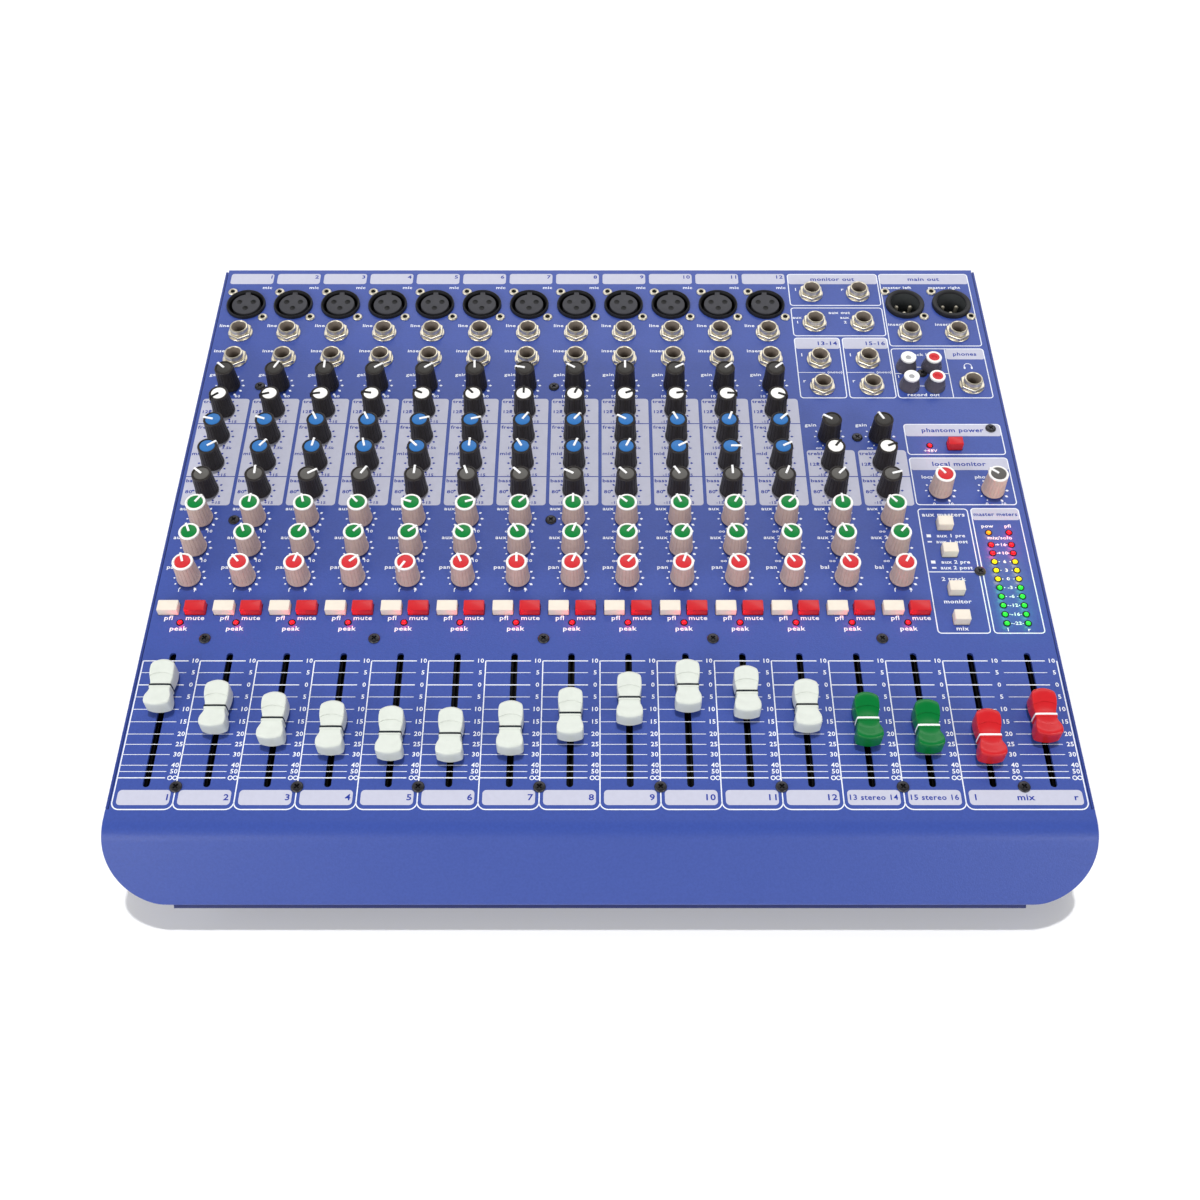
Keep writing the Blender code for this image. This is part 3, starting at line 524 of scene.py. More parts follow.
def single_buttons():
    """The buttons that move on their own."""
    found = dict(zip(("listen_button_1", "mute_button_1"), strip_buttons(STRIP_X[0])))
    for node, v in MASTER_BUTTONS.items():
        found[node] = (MASTER_BUTTON_X, v, *MASTER_BUTTON_HALF, MASTER_BUTTON_HEIGHT, "ivory")
    phantom = (*PHANTOM_BUTTON, *PHANTOM_BUTTON_HALF, MASTER_BUTTON_HEIGHT, "button_red")
    return found | {"phantom_power_button": phantom}


def row_buttons():
    return [button for x in STRIP_X[1 : MONO + 2] for button in strip_buttons(x)]


def make_panel():
    shape = Shape()
    outline = [(PANEL_LENGTH, -SHEET), (PANEL_LENGTH, 0)]
    outline += bend_profile(0) + bend_profile(SHEET)[::-1]
    side_loft(shape, outline, (-HALF_WIDTH, HALF_WIDTH), "panel_blue")
    panel = shape.piece("panel_skin", "console")
    edges = Shape()
    for side in (-1, 1):
        x = sorted((side * PANEL_HALF, side * (HALF_WIDTH + BEYOND)))
        edges.box(x, (WIDE_BELOW, PANEL_LENGTH + BEYOND), (-BEYOND, BEYOND), "panel_blue")
    cut(panel, edges)
    cut(panel, apron_corner_cutter())
    low, high, width = SLOT
    outlines = [round_box((x - width / 2, x + width / 2), (low, high), width / 2 - 0.01) for x in STRIP_X]
    for x, v, half_x, half_v, *_ in row_buttons() + list(single_buttons().values()):
        outlines.append(around(x, v, half_x + GAP, half_v + GAP, 0.5, 2))
    outlines += [circle((x, v), LAMP_HOLE, 20) for x, v, _ in lamp_places()]
    outlines += [circle(at, JACK_HOLE) for at in jack_places()]
    outlines += [circle((x, XLR_V), XLR_HOLE, 40) for x in STRIP_X[:MONO]]
    outlines += [circle((x, MAIN_XLR_V), XLR_HOLE, 40) for x in MAIN_X]
    outlines += [circle((x, v), RCA_HOLE, 24) for x in RCA_X for v in RCA_V]
    holes = Shape()
    for outline in outlines:
        holes.plate(outline, (-SHEET - 2, 2), "panel_blue")
    cut(panel, holes)
    smooth_but(panel.data, 30)
    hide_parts("top_panel")


def make_lip():
    """The folded edge under the apron, in a darker copy of the panel blue: painted shade that makes it show
    as a dark line.
    """
    near, step = APRON_LENGTH - 3, APRON_LENGTH + 1.8
    section = ((near, 1.7), (step, 1.7), (step + 0.3, 2.1), (near, 4.0))
    outline = [tuple(APRON_START + APRON_DOWN * along - APRON_OUT * depth) for along, depth in section]
    shape = Shape()
    half = HALF_WIDTH - APRON_CORNER
    side_loft(shape, outline, (-half, half), "lip_blue_painted_shade")
    lip = shape.piece("apron_lip", "console")


def side_outline():
    """(v, n) outline of the tray seen from the side: below the panel, down to the bottom."""
    low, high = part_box("chassis_tray")
    back, front, bottom = high.y, low.y, low.z
    under = BEND_RADIUS - SHEET - GAP
    side = WIDE_BELOW + GAP
    # The back wall's top lies on the panel plane
    reach = (back - ORIGIN.y) / math.cos(TILT) / MM
    points = [(reach, 0.0), (side, 0.0), (side, under - BEND_RADIUS)]
    points += arc(0, -BEND_RADIUS, under, 90, 90 + BEND_ANGLE * 3 / 4, BEND_STEPS * 3 // 4)[1:]
    chamfer = 5 * MM
    corners = ((front, TRAY_FRONT), (front, bottom + chamfer), (front + chamfer, bottom), (back, bottom))
    return points + [tuple(panel_of((0, y, z)).yz) for y, z in corners]


def cut_box(target, x, v, n, place=PANEL):
    cutter = Shape()
    cutter.box(x, v, n, "tray_blue")
    cut(target, cutter, place)


def make_tray():
    shape = Shape()
    side_loft(shape, side_outline(), (-HALF_WIDTH, HALF_WIDTH), "tray_blue")
    tray = shape.piece("tray_shell", "console")
    low, high = [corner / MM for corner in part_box("chassis_tray")]
    x = (WALL - HALF_WIDTH, HALF_WIDTH - WALL)
    cut_box(tray, x, (low.y + WALL, high.y - WALL), (low.z + WALL, 200.0), Matrix.Identity(4))
    cut_box(tray, x, (WIDE_BELOW, PANEL_LENGTH + 10), (-SHEET - GAP, 30))
    low, top = [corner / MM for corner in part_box("power_inlet")]
    flange_x, flange_z = 3.0 - GAP, 2.0 - GAP
    x, z = (low.x + flange_x, top.x - flange_x), (low.z + flange_z, top.z - flange_z)
    cut_box(tray, x, (high.y - 10, high.y + 10), z, Matrix.Identity(4))
    smooth_but(tray.data, 30)
    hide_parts("chassis_tray")


def make_feet():
    """Rubber feet with a hollow for the screw underneath."""
    profile = ((2.4, 2.6), (3.2, 2.6), (3.4, 0.6), (4.2, 0.0), (7.4, 0.0), (8.8, 0.35), (9.7, 1.2))
    profile += ((10.0, 2.2), (10.0, 8.6), (9.6, 9.4), (9.2, 9.7))
    for end in ("front", "back"):
        for side in ("left", "right"):
            node = f"foot_{end}_{side}"
            low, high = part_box(node)
            shape = Shape()
            shape.turned((low + high) / 2 / MM, 48, (profile, "rubber"))
            shape.face_outwards()
            foot = shape.piece(f"{node}_rubber", "console", Matrix.Identity(4), 50)
            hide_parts(node)


def add_screw(shape, at, radius=2.9, height=1.0, base=0.0):
    """A pan-head screw with a cross recess."""
    rim = ((0.96, 0.0), (1.0, 0.25), (0.95, 0.6), (0.8, 0.92), (0.6, 1.0))
    rim = [(radius * wide, base + height * up) for wide, up in rim]
    loops = shape.rings(at, rim, "screw_black", 24)
    shape.cap(loops[0], "screw_black", False)
    arms = []
    wide, reach = radius * 0.14, radius * 0.48
    for k in range(4):
        a = math.radians(45 + 90 * k)
        c, s = math.cos(a), math.sin(a)
        for u, w in ((wide, -wide), (reach, -wide), (reach, wide)):
            arms.append((at[0] + u * c - w * s, at[1] + u * s + w * c))
    top, floor = [shape.loop([(x, v, base + height * up) for x, v in arms]) for up in (1.0, 0.35)]
    edges = []
    for loop in (loops[-1], top):
        for a, b in zip(loop, loop[1:] + loop[:1]):
            edges.append(shape.bm.edges.get((a, b)) or shape.bm.edges.new((a, b)))
    filled = bmesh.ops.triangle_fill(shape.bm, edges=edges, use_beauty=True)
    for face in filled["geom"]:
        if isinstance(face, bmesh.types.BMFace):
            face.material_index = shape.index("screw_black")
    # The recess walls and floor are painted near black: painted shade in the recess.
    shape.skin([top, floor], "black_and_painted_hole_shade", False)
    shape.cap(floor, "black_and_painted_hole_shade")


def make_screws():
    shape = Shape()
    for at in [(k * PITCH, v) for k, v in SCREW_ROWS] + list(LOOSE_SCREWS):
        add_screw(shape, at)
    shape.face_outwards()
    shape.piece("panel_screws", "console")
    for side, name in ((-1, "left"), (1, "right")):
        shape = Shape()
        for v in SIDE_SCREW_V:
            add_screw(shape, (v, -5.0), 3.4, 0.78)
        shape.face_outwards()
        turn = Matrix(((0, 0, side, 0), (1, 0, 0, 0), (0, 1, 0, 0), (0, 0, 0, 1)))
        place = PANEL @ Matrix.Translation((side * HALF_WIDTH * MM, 0, 0)) @ turn
        shape.piece(f"side_screws_{name}", "console", place)


# Sockets


def hexagon(angle):
    """Radius factor of a nut whose corners point up and down the panel and are slightly turned off."""
    inside = angle % (math.pi / 3) - math.pi / 6
    return min(1 / math.cos(math.pi / 6 - abs(inside)), 1.13)


# Profiles of a jack as (radius, height): body and washer, nut, collar, mouth, and the bore's end, painted
# near black as the shade deep in the bore
JACK_BODY = ((4.7, -22.6), (4.7, 0.02), (6.9, 0.02), (6.95, 0.55), (6.75, 0.8))
JACK_NUT = ((6.1, 0.82), (6.1, 1.1), (6.1, 2.3), (5.85, 2.65))
JACK_COLLAR = ((5.2, 2.65), (5.1, 2.9), (5.1, 4.9), (4.95, 5.3), (4.6, 5.5), (4.3, 5.5), (4.1, 5.3))
JACK_MOUTH = ((4.0, 5.1), (3.7, 3.6), (3.25, 2.6), (3.2, -5.0))
JACK_END = ((3.15, -5.2), (3.1, -22.0))


def add_jack(shape, at):
    """Washer, hexagonal nut, stepped collar and a deep bore, in one closed skin."""
    outside = (JACK_BODY, "nickel"), (JACK_NUT, "nickel", hexagon), (JACK_COLLAR, "nickel")
    # The far end of the bore is painted near black: painted shade deep in the bore.
    shape.turned(at, 48, *outside, (JACK_MOUTH, "bore_grey"), (JACK_END, "black_and_painted_hole_shade"))


def make_jacks():
    groups = (
        ("line_jacks", [(STRIP_X[i], LINE_V) for i in range(MONO)], "line_jack_row"),
        ("insert_jacks", [(STRIP_X[i], INSERT_V) for i in range(MONO)], "insert_jack_row"),
        ("master_jacks", jack_places()[2 * MONO :], "master_jack_block"),
    )
    for name, places, node in groups:
        shape = Shape()
        for at in places:
            add_jack(shape, at)
        jacks = shape.piece(name, "console", sharp=32)
        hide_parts(node)


def add_rivet(shape, at):
    """A hollow rivet: a domed ring round a shallow hole, its floor painted near black as the hole's shade."""
    ring = ((2.75, 0.02), (2.75, 0.5), (2.3, 0.95), (1.6, 1.05), (1.25, 0.85))
    shape.turned(at, 28, (ring, "nickel"), (((1.15, 0.7), (1.1, 0.2)), "black_and_painted_hole_shade"))


# Profiles of the XLR sockets as (radius, height): their barrel, then what is on it
XLR_BARREL = ((9.9, -13.6), (9.9, 0.02))
FEMALE_FLANGE = ((11.3, 0.02), (11.3, 1.1), (11.1, 1.7), (10.75, 1.9), (10.45, 1.75), (10.3, 1.3))
FEMALE_WELL = ((9.7, 0.4), (9.6, -6.0))
FEMALE_INSERT = ((8.1, -5.9), (8.1, 0.75), (7.95, 1.0), (7.6, 1.1))
HOLE_LIP, HOLE_END = ((1.75, 1.0), (1.7, 1.2), (1.4, 1.22)), ((1.25, 1.15),)
MALE_FLANGE = ((11.2, 0.02), (11.2, 1.5), (11.0, 2.0), (10.5, 2.25), (9.3, 2.1), (8.5, 1.8), (8.35, 1.5))
MALE_WELL = ((8.3, 1.2), (8.3, -12.4), (7.8, -13.0))
PIN = ((1.2, -13.0), (1.2, -3.4), (1.05, -2.9), (0.6, -2.55), (0.2, -2.45))


def add_xlr(shape, x, v, flange, well, look, rivets, *contact):
    """A round shell with its well, two rivets and three contacts."""
    shape.turned((x, v), 64, (XLR_BARREL + flange, "socket_black"), (well, look), like_next=False)
    for dx, dv in rivets:
        add_rivet(shape, (x + dx, v + dv))
    for dx, dv in CONTACTS:
        shape.turned((x + dx, v + dv), 20, *contact)


def make_female_xlrs():
    shape = Shape()
    v = XLR_V
    rivets = ((-9.3, 10.8), (10.9, -10.0))
    # The contact holes end in a shallow near-black disc: painted shade for their depth.
    hole = (HOLE_LIP, "socket_black"), (HOLE_END, "black_and_painted_hole_shade")
    for x in STRIP_X[:MONO]:
        # The groove round the insert is painted near black: painted shade in the groove.
        add_xlr(shape, x, v, FEMALE_FLANGE, FEMALE_WELL, "black_and_painted_hole_shade", rivets, *hole)
        shape.turned((x, v), 56, (FEMALE_INSERT, "socket_grey"))
        shape.box((x - 1.4, x + 1.4), (v + 7.6, v + 9.75), (-5.0, 1.0), "socket_grey")
    sockets = shape.piece("xlr_sockets", "console", sharp=34)
    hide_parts("xlr_female_row")


def make_male_xlrs():
    shape = Shape()
    v = MAIN_XLR_V
    rivets = ((-10.2, 10.7), (10.0, -9.7))
    for x in MAIN_X:
        # The cup well is painted grey: painted sheen standing in for light on its glossy black walls.
        add_xlr(shape, x, v, MALE_FLANGE, MALE_WELL, "cup_grey_painted_sheen", rivets, (PIN, "nickel"))
        shape.box((x - 1.3, x + 1.3), (v - 8.2, v - 7.3), (-12.0, 0.8), "socket_black")
    sockets = shape.piece("xlr_outputs", "console", sharp=34)
    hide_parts("xlr_male_pair")


def make_rcas():
    shape = Shape()
    skirt = ((5.8, 0.02), (5.75, 0.9), (5.5, 2.0), (5.0, 3.8), (4.4, 5.9), (4.2, 7.2))
    rim = ((4.25, 7.4), (4.3, 8.1), (4.1, 8.4), (3.1, 8.45), (2.95, 8.2))
    inset = ((2.9, 8.1), (1.7, 8.0), (1.5, 7.7))
    dimple = ((1.4, 7.5), (0.8, 7.3))
    for x in RCA_X:
        middle, tip = ("white_cap", "rca_grey") if x == RCA_X[0] else ("red_cap", "red_cap")
        for v in RCA_V:
            parts = (skirt, "rca_skirt"), (rim, "white_cap"), (inset, middle), (dimple, tip)
            shape.turned((x, v), 48, *parts)
    sockets = shape.piece("rca_sockets", "console")
    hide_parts("rca_block")


# Lamps


def add_lamp(shape, x, v, material):
    # A near-black ring round the lens: painted shade of the gap in the panel hole.
    ring = ((1.9, 0.02), (1.85, 0.2), (1.65, 0.24), (1.4, 0.1))
    shape.turned((x, v), 24, (ring, "black_and_painted_hole_shade"))
    dome = [(LENS_RADIUS, -2.0)]
    for k in range(5):
        a = math.radians(90 * k / 5)
        dome.append((LENS_RADIUS * math.cos(a), 0.1 + 0.7 * math.sin(a)))
    shape.turned((x, v), 20, (dome, material))


def make_lamps():
    meter, others = Shape(), Shape()
    for x, v, material in lamp_places():
        add_lamp(meter if x in LED_X else others, x, v, material)
    meter = meter.piece("meter_lamps", "console")
    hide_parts("meter_lamp_block")
    peaks = others.piece("peak_lamps", "console")


# Controls

CAPS = {"gain": "dark_cap", "treble": "white_cap", "freq": "blue_cap", "mid": "blue_cap", "bass": "grey_cap"}
CAPS.update({"aux1": "green_cap", "aux2": "green_cap", "pan": "red_cap"})
TAN_ROWS = ("aux1", "aux2", "pan")
# The stereo strips have their gain and treble knobs one row lower than the mono strips
STEREO_CAPS = {**CAPS, "freq": "dark_cap", "mid": "white_cap"}


def flute(angle):
    """Radius factor of a skirt with 18 shallow grooves."""
    return 1 - 0.05 * max(0.0, math.cos(18 * angle)) ** 3


# Profiles of a knob as (radius, height), and its pointer as (distance from the axis, height)
KNOB_SKIRT = ((2.0, -3.0), (2.0, 0.6), (5.9, 0.6), (6.05, 0.9), (6.05, 1.7), (5.9, 2.0))
KNOB_GRIP = ((5.85, 2.3), (5.6, 6.0), (5.35, 10.5), (5.2, 13.2))
KNOB_CROWN = ((5.2, 13.45), (5.2, 13.9), (4.95, 14.25), (4.4, 14.35), (4.15, 14.2), (4.1, 13.8))
KNOB_DISC = ((3.95, 13.8), (3.9, 14.1), (3.7, 14.2))
POINTER = (
    *((0.0, 14.0), (0.0, 14.45), (0.2, 14.6), (5.1, 14.6)),
    *((5.55, 14.35), (5.75, 12.2), (5.2, 12.0), (4.9, 14.0)),
)
POINTER_HALF = 0.55


def add_knob(shape, at, pointer, cap, tan):
    body = "tan_body" if tan else "black_body"
    rim = "white_cap" if tan else body
    lower = (KNOB_SKIRT, body), (KNOB_GRIP, body, flute)
    shape.turned(at, 108, *lower, (KNOB_CROWN, rim), (KNOB_DISC, cap), like_next=False)
    a = math.radians(90 - pointer)
    c, s = math.cos(a), math.sin(a)
    ink_name = "pointer_black" if cap == "white_cap" else "pointer_white"
    loops = []
    for w in (POINTER_HALF, -POINTER_HALF):
        loops.append(shape.loop([(at[0] + c * r - s * w, at[1] + s * r + c * w, n) for r, n in POINTER]))
    shape.skin(loops, ink_name, False)
    shape.cap(loops[0], ink_name, False)
    shape.cap(loops[1], ink_name)


def make_knobs():
    for row in KNOB_ROWS:
        tan = row in TAN_ROWS
        shape = Shape()
        for i in strips(row)[1:]:
            cap = (CAPS if i < MONO else STEREO_CAPS)[row]
            add_knob(shape, (STRIP_X[i], ROW_V[row]), POINTERS[row][i], cap, tan)
        knobs = shape.piece(f"{row}_knobs", "console", sharp=34)
        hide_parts(f"{row}_knob_row")
        single(f"{row}_knob_1", STRIP_X[0], ROW_V[row], POINTERS[row][0], CAPS[row], tan)
    for name, (pointer, cap) in MASTER_POINTERS.items():
        at = panel_of(JOINT[f"{name}_turn"]["pos_m"])
        single(name, at.x, at.y, pointer, cap, True)


def single(node, x, v, pointer, cap, tan):
    shape = Shape()
    add_knob(shape, (x, v), pointer, cap, tan)
    knob = shape.piece(f"{node}_turned", node, sharp=34)
    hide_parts(node)


def add_button(shape, x, v, half_x, half_v, height, material):
    """A push button with a bevelled top."""
    loops = []
    for inset, n in ((0.0, BUTTON_FOOT), (0.0, height - 0.4), (0.12, height - 0.14), (0.4, height)):
        outline = around(x, v, half_x - inset, half_v - inset, 0.4, 3)
        loops.append(shape.loop([(a, b, n) for a, b in outline]))
    shape.skin(loops, material)
    shape.cap(loops[0], material, False)
    shape.cap(loops[-1], material)


def make_buttons():
    shape = Shape()
    for button in row_buttons():
        add_button(shape, *button)
    row = shape.piece("strip_buttons", "console", sharp=25)
    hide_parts("button_row")
    for node, values in single_buttons().items():
        shape = Shape()
        add_button(shape, *values)
        button = shape.piece(f"{node}_moulded", node, sharp=25)
        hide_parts(node)


# A fader cap from its near end to its far end: place along it, half width, height of the top
CAP_STATIONS = (
    *((-11.3, 5.2, 8.9), (-11.2, 5.75, 9.8), (-10.8, 6.05, 10.3), (-10.0, 6.2, 10.5), (-8.6, 6.25, 10.4)),
    *((-7.2, 6.1, 10.1), (-5.6, 5.7, 9.6), (-3.8, 5.2, 9.2), (-2.2, 4.95, 9.1), (-1.0, 4.9, 9.2)),
    *((1.0, 4.9, 9.2), (2.4, 5.0, 9.1), (4.2, 5.25, 9.3), (5.6, 5.5, 9.65), (6.3, 5.58, 9.85)),
    *((6.4, 5.6, 10.3), (6.9, 5.66, 10.45), (8.4, 5.8, 10.9), (10.2, 5.8, 11.2), (11.8, 5.65, 11.3)),
    *((12.7, 5.35, 11.0), (13.2, 4.85, 10.4), (13.3, 4.4, 9.7)),
)
CAP_LIFT = 2.4
FAR_BOW, NEAR_BOW = 2.3, 1.5


def cap_section(half, top, dish):
    """(x, n) points round a cap: flat bottom, near-upright sides, and a top dished or crowned by dish."""
    points = [(half * 0.99 * k / 4, CAP_LIFT) for k in range(-4, 5)]
    points.append((half, top * 0.6))
    radius = 0.6
    edge = half * 0.98 - radius
    points += arc(edge, top - radius, radius, 0, 90, 3)
    for k in range(1, 8):
        across = 1 - k / 4
        points.append((edge * across, top + dish * (1 - across * across)))
    return points + arc(-edge, top - radius, radius, 90, 180, 3) + [(-half, top * 0.6)]


def add_band(shape, at, ends, half, top, material):
    """A ridge across a cap, standing a little proud of it."""
    section = cap_section(half, top, 0.1)
    band = [shape.loop([(at[0] + x, at[1] + end, n) for x, n in section]) for end in ends]
    shape.skin([loop[::-1] for loop in band], material, False)
    shape.cap(band[0], material)
    shape.cap(band[-1][::-1], material)


def add_cap(shape, at, material, line):
    """A waisted cap with bowed ends and a step across its far lobe, a raised line and a lever below."""
    loops = []
    for y, half, top in CAP_STATIONS:
        dish = -0.3 if 3 < abs(y) < 9 else 0.1
        section = cap_section(half, top, dish)
        bow = (FAR_BOW if y > 0 else -NEAR_BOW) * min(1.0, abs(y) / 5)
        loops.append(shape.loop([(at[0] + x, at[1] + y - bow * (x / 6) ** 2, n) for x, n in section]))
    shape.skin([loop[::-1] for loop in loops], material)
    shape.cap(loops[0], material)
    shape.cap(loops[-1][::-1], material)
    add_band(shape, at, (-0.4, 0.5), 5.25, 9.45, line)
    add_band(shape, at, (-1.3, -0.45), 5.2, 9.35, material)
    shape.box((at[0] - 0.6, at[0] + 0.6), (at[1] - 4, at[1] + 4), (-9.0, CAP_LIFT + 0.6), "dull_steel")


def make_faders():
    for i, node in enumerate(FADERS):
        look = "white" if i < MONO else "green" if i < MONO + 2 else "red"
        line = "line_black" if look == "white" else "line_white"
        shape = Shape()
        add_cap(shape, middle_of(node).xy, f"fader_{look}", line)
        fader = shape.piece(f"{node}_cap", node, sharp=50)
        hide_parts(node)
    shape = Shape()
    low, high, width = SLOT
    for x in STRIP_X:
        for side in (-1, 1):
            lip = sorted((x + side * 0.65, x + side * (width / 2 + 2)))
            shape.box(lip, (low - 2, high + 2), (-SHEET - 2.2, -SHEET - 1.6), "black_and_painted_hole_shade")
    dust = shape.piece("slot_dust_strips", "console")


# Print: white and lavender ink on the panel, dark ink on the lavender

# Thickness of the inks
LAVENDER_N = (0.0, 0.05)
LINE_N = (0.0, 0.09)
TEXT_HEIGHT = 0.1
# Place, number and whether the line is bold
FADER_MARKS = (
    *((83.1, "10", True), (76.5, "5", False), (69.7, "0", True), (63.1, "5", False)),
    *((56.4, "10", False), (49.7, "15", False), (43.2, "20", False), (37.8, "25", False)),
    *((32.5, "30", False), (27.0, "40", False), (23.8, "50", False), (20.6, "oo", True)),
)
OUTLINE_V = (8.0, 83.1)
OUTLINE_WIDTH = 0.55
NUMBER_V = 10.7
MADE_LETTERS = {}


def letters(words, size):
    """Thin raised letters in a plain sans face, as (points, faces), made once for each wording."""
    if (words, size) not in MADE_LETTERS:
        curve = bpy.data.curves.new("words", "FONT")
        curve.body = words
        curve.size = size * MM
        curve.align_x = curve.align_y = "CENTER"
        curve.resolution_u = 2
        curve.offset = size * MM * 0.018
        curve.extrude = TEXT_HEIGHT / 2 * MM
        curve.space_character = 1.08
        made = new_object("words", curve)
        mesh = evaluated_mesh(made)
        points = [v.co / MM for v in mesh.vertices]
        MADE_LETTERS[words, size] = (points, [tuple(p.vertices) for p in mesh.polygons])
        bpy.data.objects.remove(made)
        bpy.data.meshes.remove(mesh)
        bpy.data.curves.remove(curve)
    return MADE_LETTERS[words, size]


def add_text(shape, words, x, v, size=3.2, material="white_ink", align="centre", stretch=1.2):
    points, faces = letters(words, size)
    left, right = [most(p.x for p in points) * stretch for most in (min, max)]
    x += {"centre": -(left + right) / 2, "left": -left, "right": -right}[align]
    made = shape.loop([(x + p.x * stretch, v + p.y, p.z + TEXT_HEIGHT / 2) for p in points])
    for face in faces:
        shape.face([made[k] for k in face], material)


def add_line(shape, a, b, width=0.45):
    a, b = Vector(a), Vector(b)
    across = (b - a).normalized().orthogonal() * width / 2
    shape.plate([a - across, b - across, b + across, a + across], LINE_N, "white_ink")


def add_frame(shape, x, v, radius=2.0, width=OUTLINE_WIDTH):
    """A closed printed outline with round corners."""
    inner = round_box((x[0] + width, x[1] - width), (v[0] + width, v[1] - width), radius - width)
    shape.tube(round_box(x, v, radius), inner, LINE_N, "white_ink")


def add_patch(shape, x, v, radius):
    shape.plate(round_box(x, v, radius), LAVENDER_N, "lavender_ink")


def add_ticks(shape, x, v, material, growing):
    """Eleven marks round a knob, from its lower left to its lower right."""
    at = Vector((x, v))
    for k in range(11):
        a = math.radians(240 - 30 * k)
        size = 0.4 + 0.035 * k if growing else 0.62
        along = Vector((math.cos(a), math.sin(a)))
        across = Vector((-along.y, along.x)) * size
        inner, outer = 6.7, 6.7 + 2.8 * size
        middle = at + along * (inner + outer) / 2
        outline = [at + along * inner, middle - across, at + along * outer, middle + across]
        shape.plate(outline, LINE_N, material)


def strip_print(shape, i):
    """Everything printed on one mono or stereo strip, above its faders."""
    x = STRIP_X[i]
    mono = i < MONO
    both = ("+15", "-15")
    words = {
        "gain": ("gain", "", "60", "10"),
        "treble": ("treble", "12k", *both),
        "freq": ("freq", "", "3.5k", "150"),
        "mid": ("mid", "", *both),
        "bass": ("bass", "80", *both),
        "aux1": ("aux 1", "", "10", "oo"),
        "aux2": ("aux 2", "", "10", "oo"),
        "pan": ("pan" if mono else "bal", "", "r", "l"),
    }
    if not mono:
        words["freq"] = ("gain", "", "20", "oo")
        words["mid"] = ("treble", "12k", *both)
    for row, (name, second, most, least) in words.items():
        if i not in strips(row):
            continue
        v = ROW_V[row]
        on_patch = row in ("treble", "mid", "bass") or (row == "freq" and mono)
        colour = "blue_ink" if on_patch else "white_ink"
        add_text(shape, name, x - 12.3, v + (8.2 if name == "gain" else 6.6), 3.1, colour, "left")
        if second:
            add_text(shape, second, x - 11.6, v - 0.9, 2.9, colour, "left")
        left, right, down, size = (4.0, 4.3, 7.6, 2.8) if row == "pan" else (6.0, 5.6, 8.1, 2.4)
        add_text(shape, least, x - left, v - down, size, colour)
        add_text(shape, most, x + right, v - down, size, colour)
        add_ticks(shape, x, v, colour, not on_patch)
    for name, dx, v in (("pfl", -6.0, 107.8), ("mute", 7.0, 107.8), ("peak", 0.0, 101.6)):
        add_text(shape, name, x + dx, v, 3.5)
    if mono:
        add_text(shape, "mic", x + 13.0, XLR_V + 14.6, 3.1, align="right")
        add_text(shape, "line", x - 12.8, LINE_V + 5.8, 3.1, align="left")
        add_text(shape, "insert", x - 12.8, INSERT_V + 6.2, 3.1, align="left")


def fader_print(shape, i):
    """Scale lines, numbers and the left side of one fader strip's outline."""
    x = STRIP_X[i]
    left = x - PITCH / 2
    last = i == STRIPS - 1
    for v, number, bold in FADER_MARKS:
        add_line(shape, (left + 1.0 if last else left, v), (x + 8.0, v), 0.5 if bold else 0.27)
        if number == "oo":
            add_infinity(shape, x + 11.3, v)
        else:
            add_text(shape, number, x + 11.4, v, 3.2, stretch=1.05)
    if not last:
        add_line(shape, (left, OUTLINE_V[0]), (left, OUTLINE_V[1]), OUTLINE_WIDTH)


def add_infinity(shape, x, v):
    radius, width = 1.15, 0.42
    for side in (-1, 1):
        at = (x + side * radius, v)
        shape.tube(circle(at, radius, 24), circle(at, radius - width, 24), LINE_N, "white_ink")


def add_path(shape, points, width):
    for a, b in zip(points, points[1:]):
        add_line(shape, a, b, width)


def cup(shape, x, v, radius):
    """The bottom of a strip's outline: a line across with a quarter round at each end."""
    points = arc(x[0] + radius, v + radius, radius, 180, 270, 6)
    points += arc(x[1] - radius, v + radius, radius, 270, 360, 6)
    add_path(shape, points, OUTLINE_WIDTH)


def make_fader_print():
    shape = Shape()
    for i in range(STRIPS):
        fader_print(shape, i)
    for a, b in [(i, i + 1) for i in range(MONO + 2)] + [(MONO + 2, STRIPS)]:
        left, right = [STRIP_X[0] + (k - 0.5) * PITCH for k in (a, b)]
        cup(shape, (left, right), 4.8, 3.6)
        add_patch(shape, (left + 1.8, right - 1.8), (7.0, 14.5), 1.8)
    edge = STRIP_X[-1] + PITCH / 2
    add_line(shape, (edge, OUTLINE_V[0]), (edge, OUTLINE_V[1]), OUTLINE_WIDTH)
    for i in range(MONO):
        add_text(shape, str(i + 1), STRIP_X[i] + 11.0, NUMBER_V, 4.2, "blue_ink", "right")
    for i, words in ((MONO, "13 stereo 14"), (MONO + 1, "15 stereo 16")):
        add_text(shape, words, STRIP_X[i], NUMBER_V, 3.7, "blue_ink", stretch=1.08)
    left, right = STRIP_X[-2:]
    for words, x in (("l", left - 9), ("mix", (left + right) / 2), ("r", right + 9)):
        add_text(shape, words, x, NUMBER_V, 4.2, "blue_ink")
    printed = shape.piece("fader_scale_print", "console")


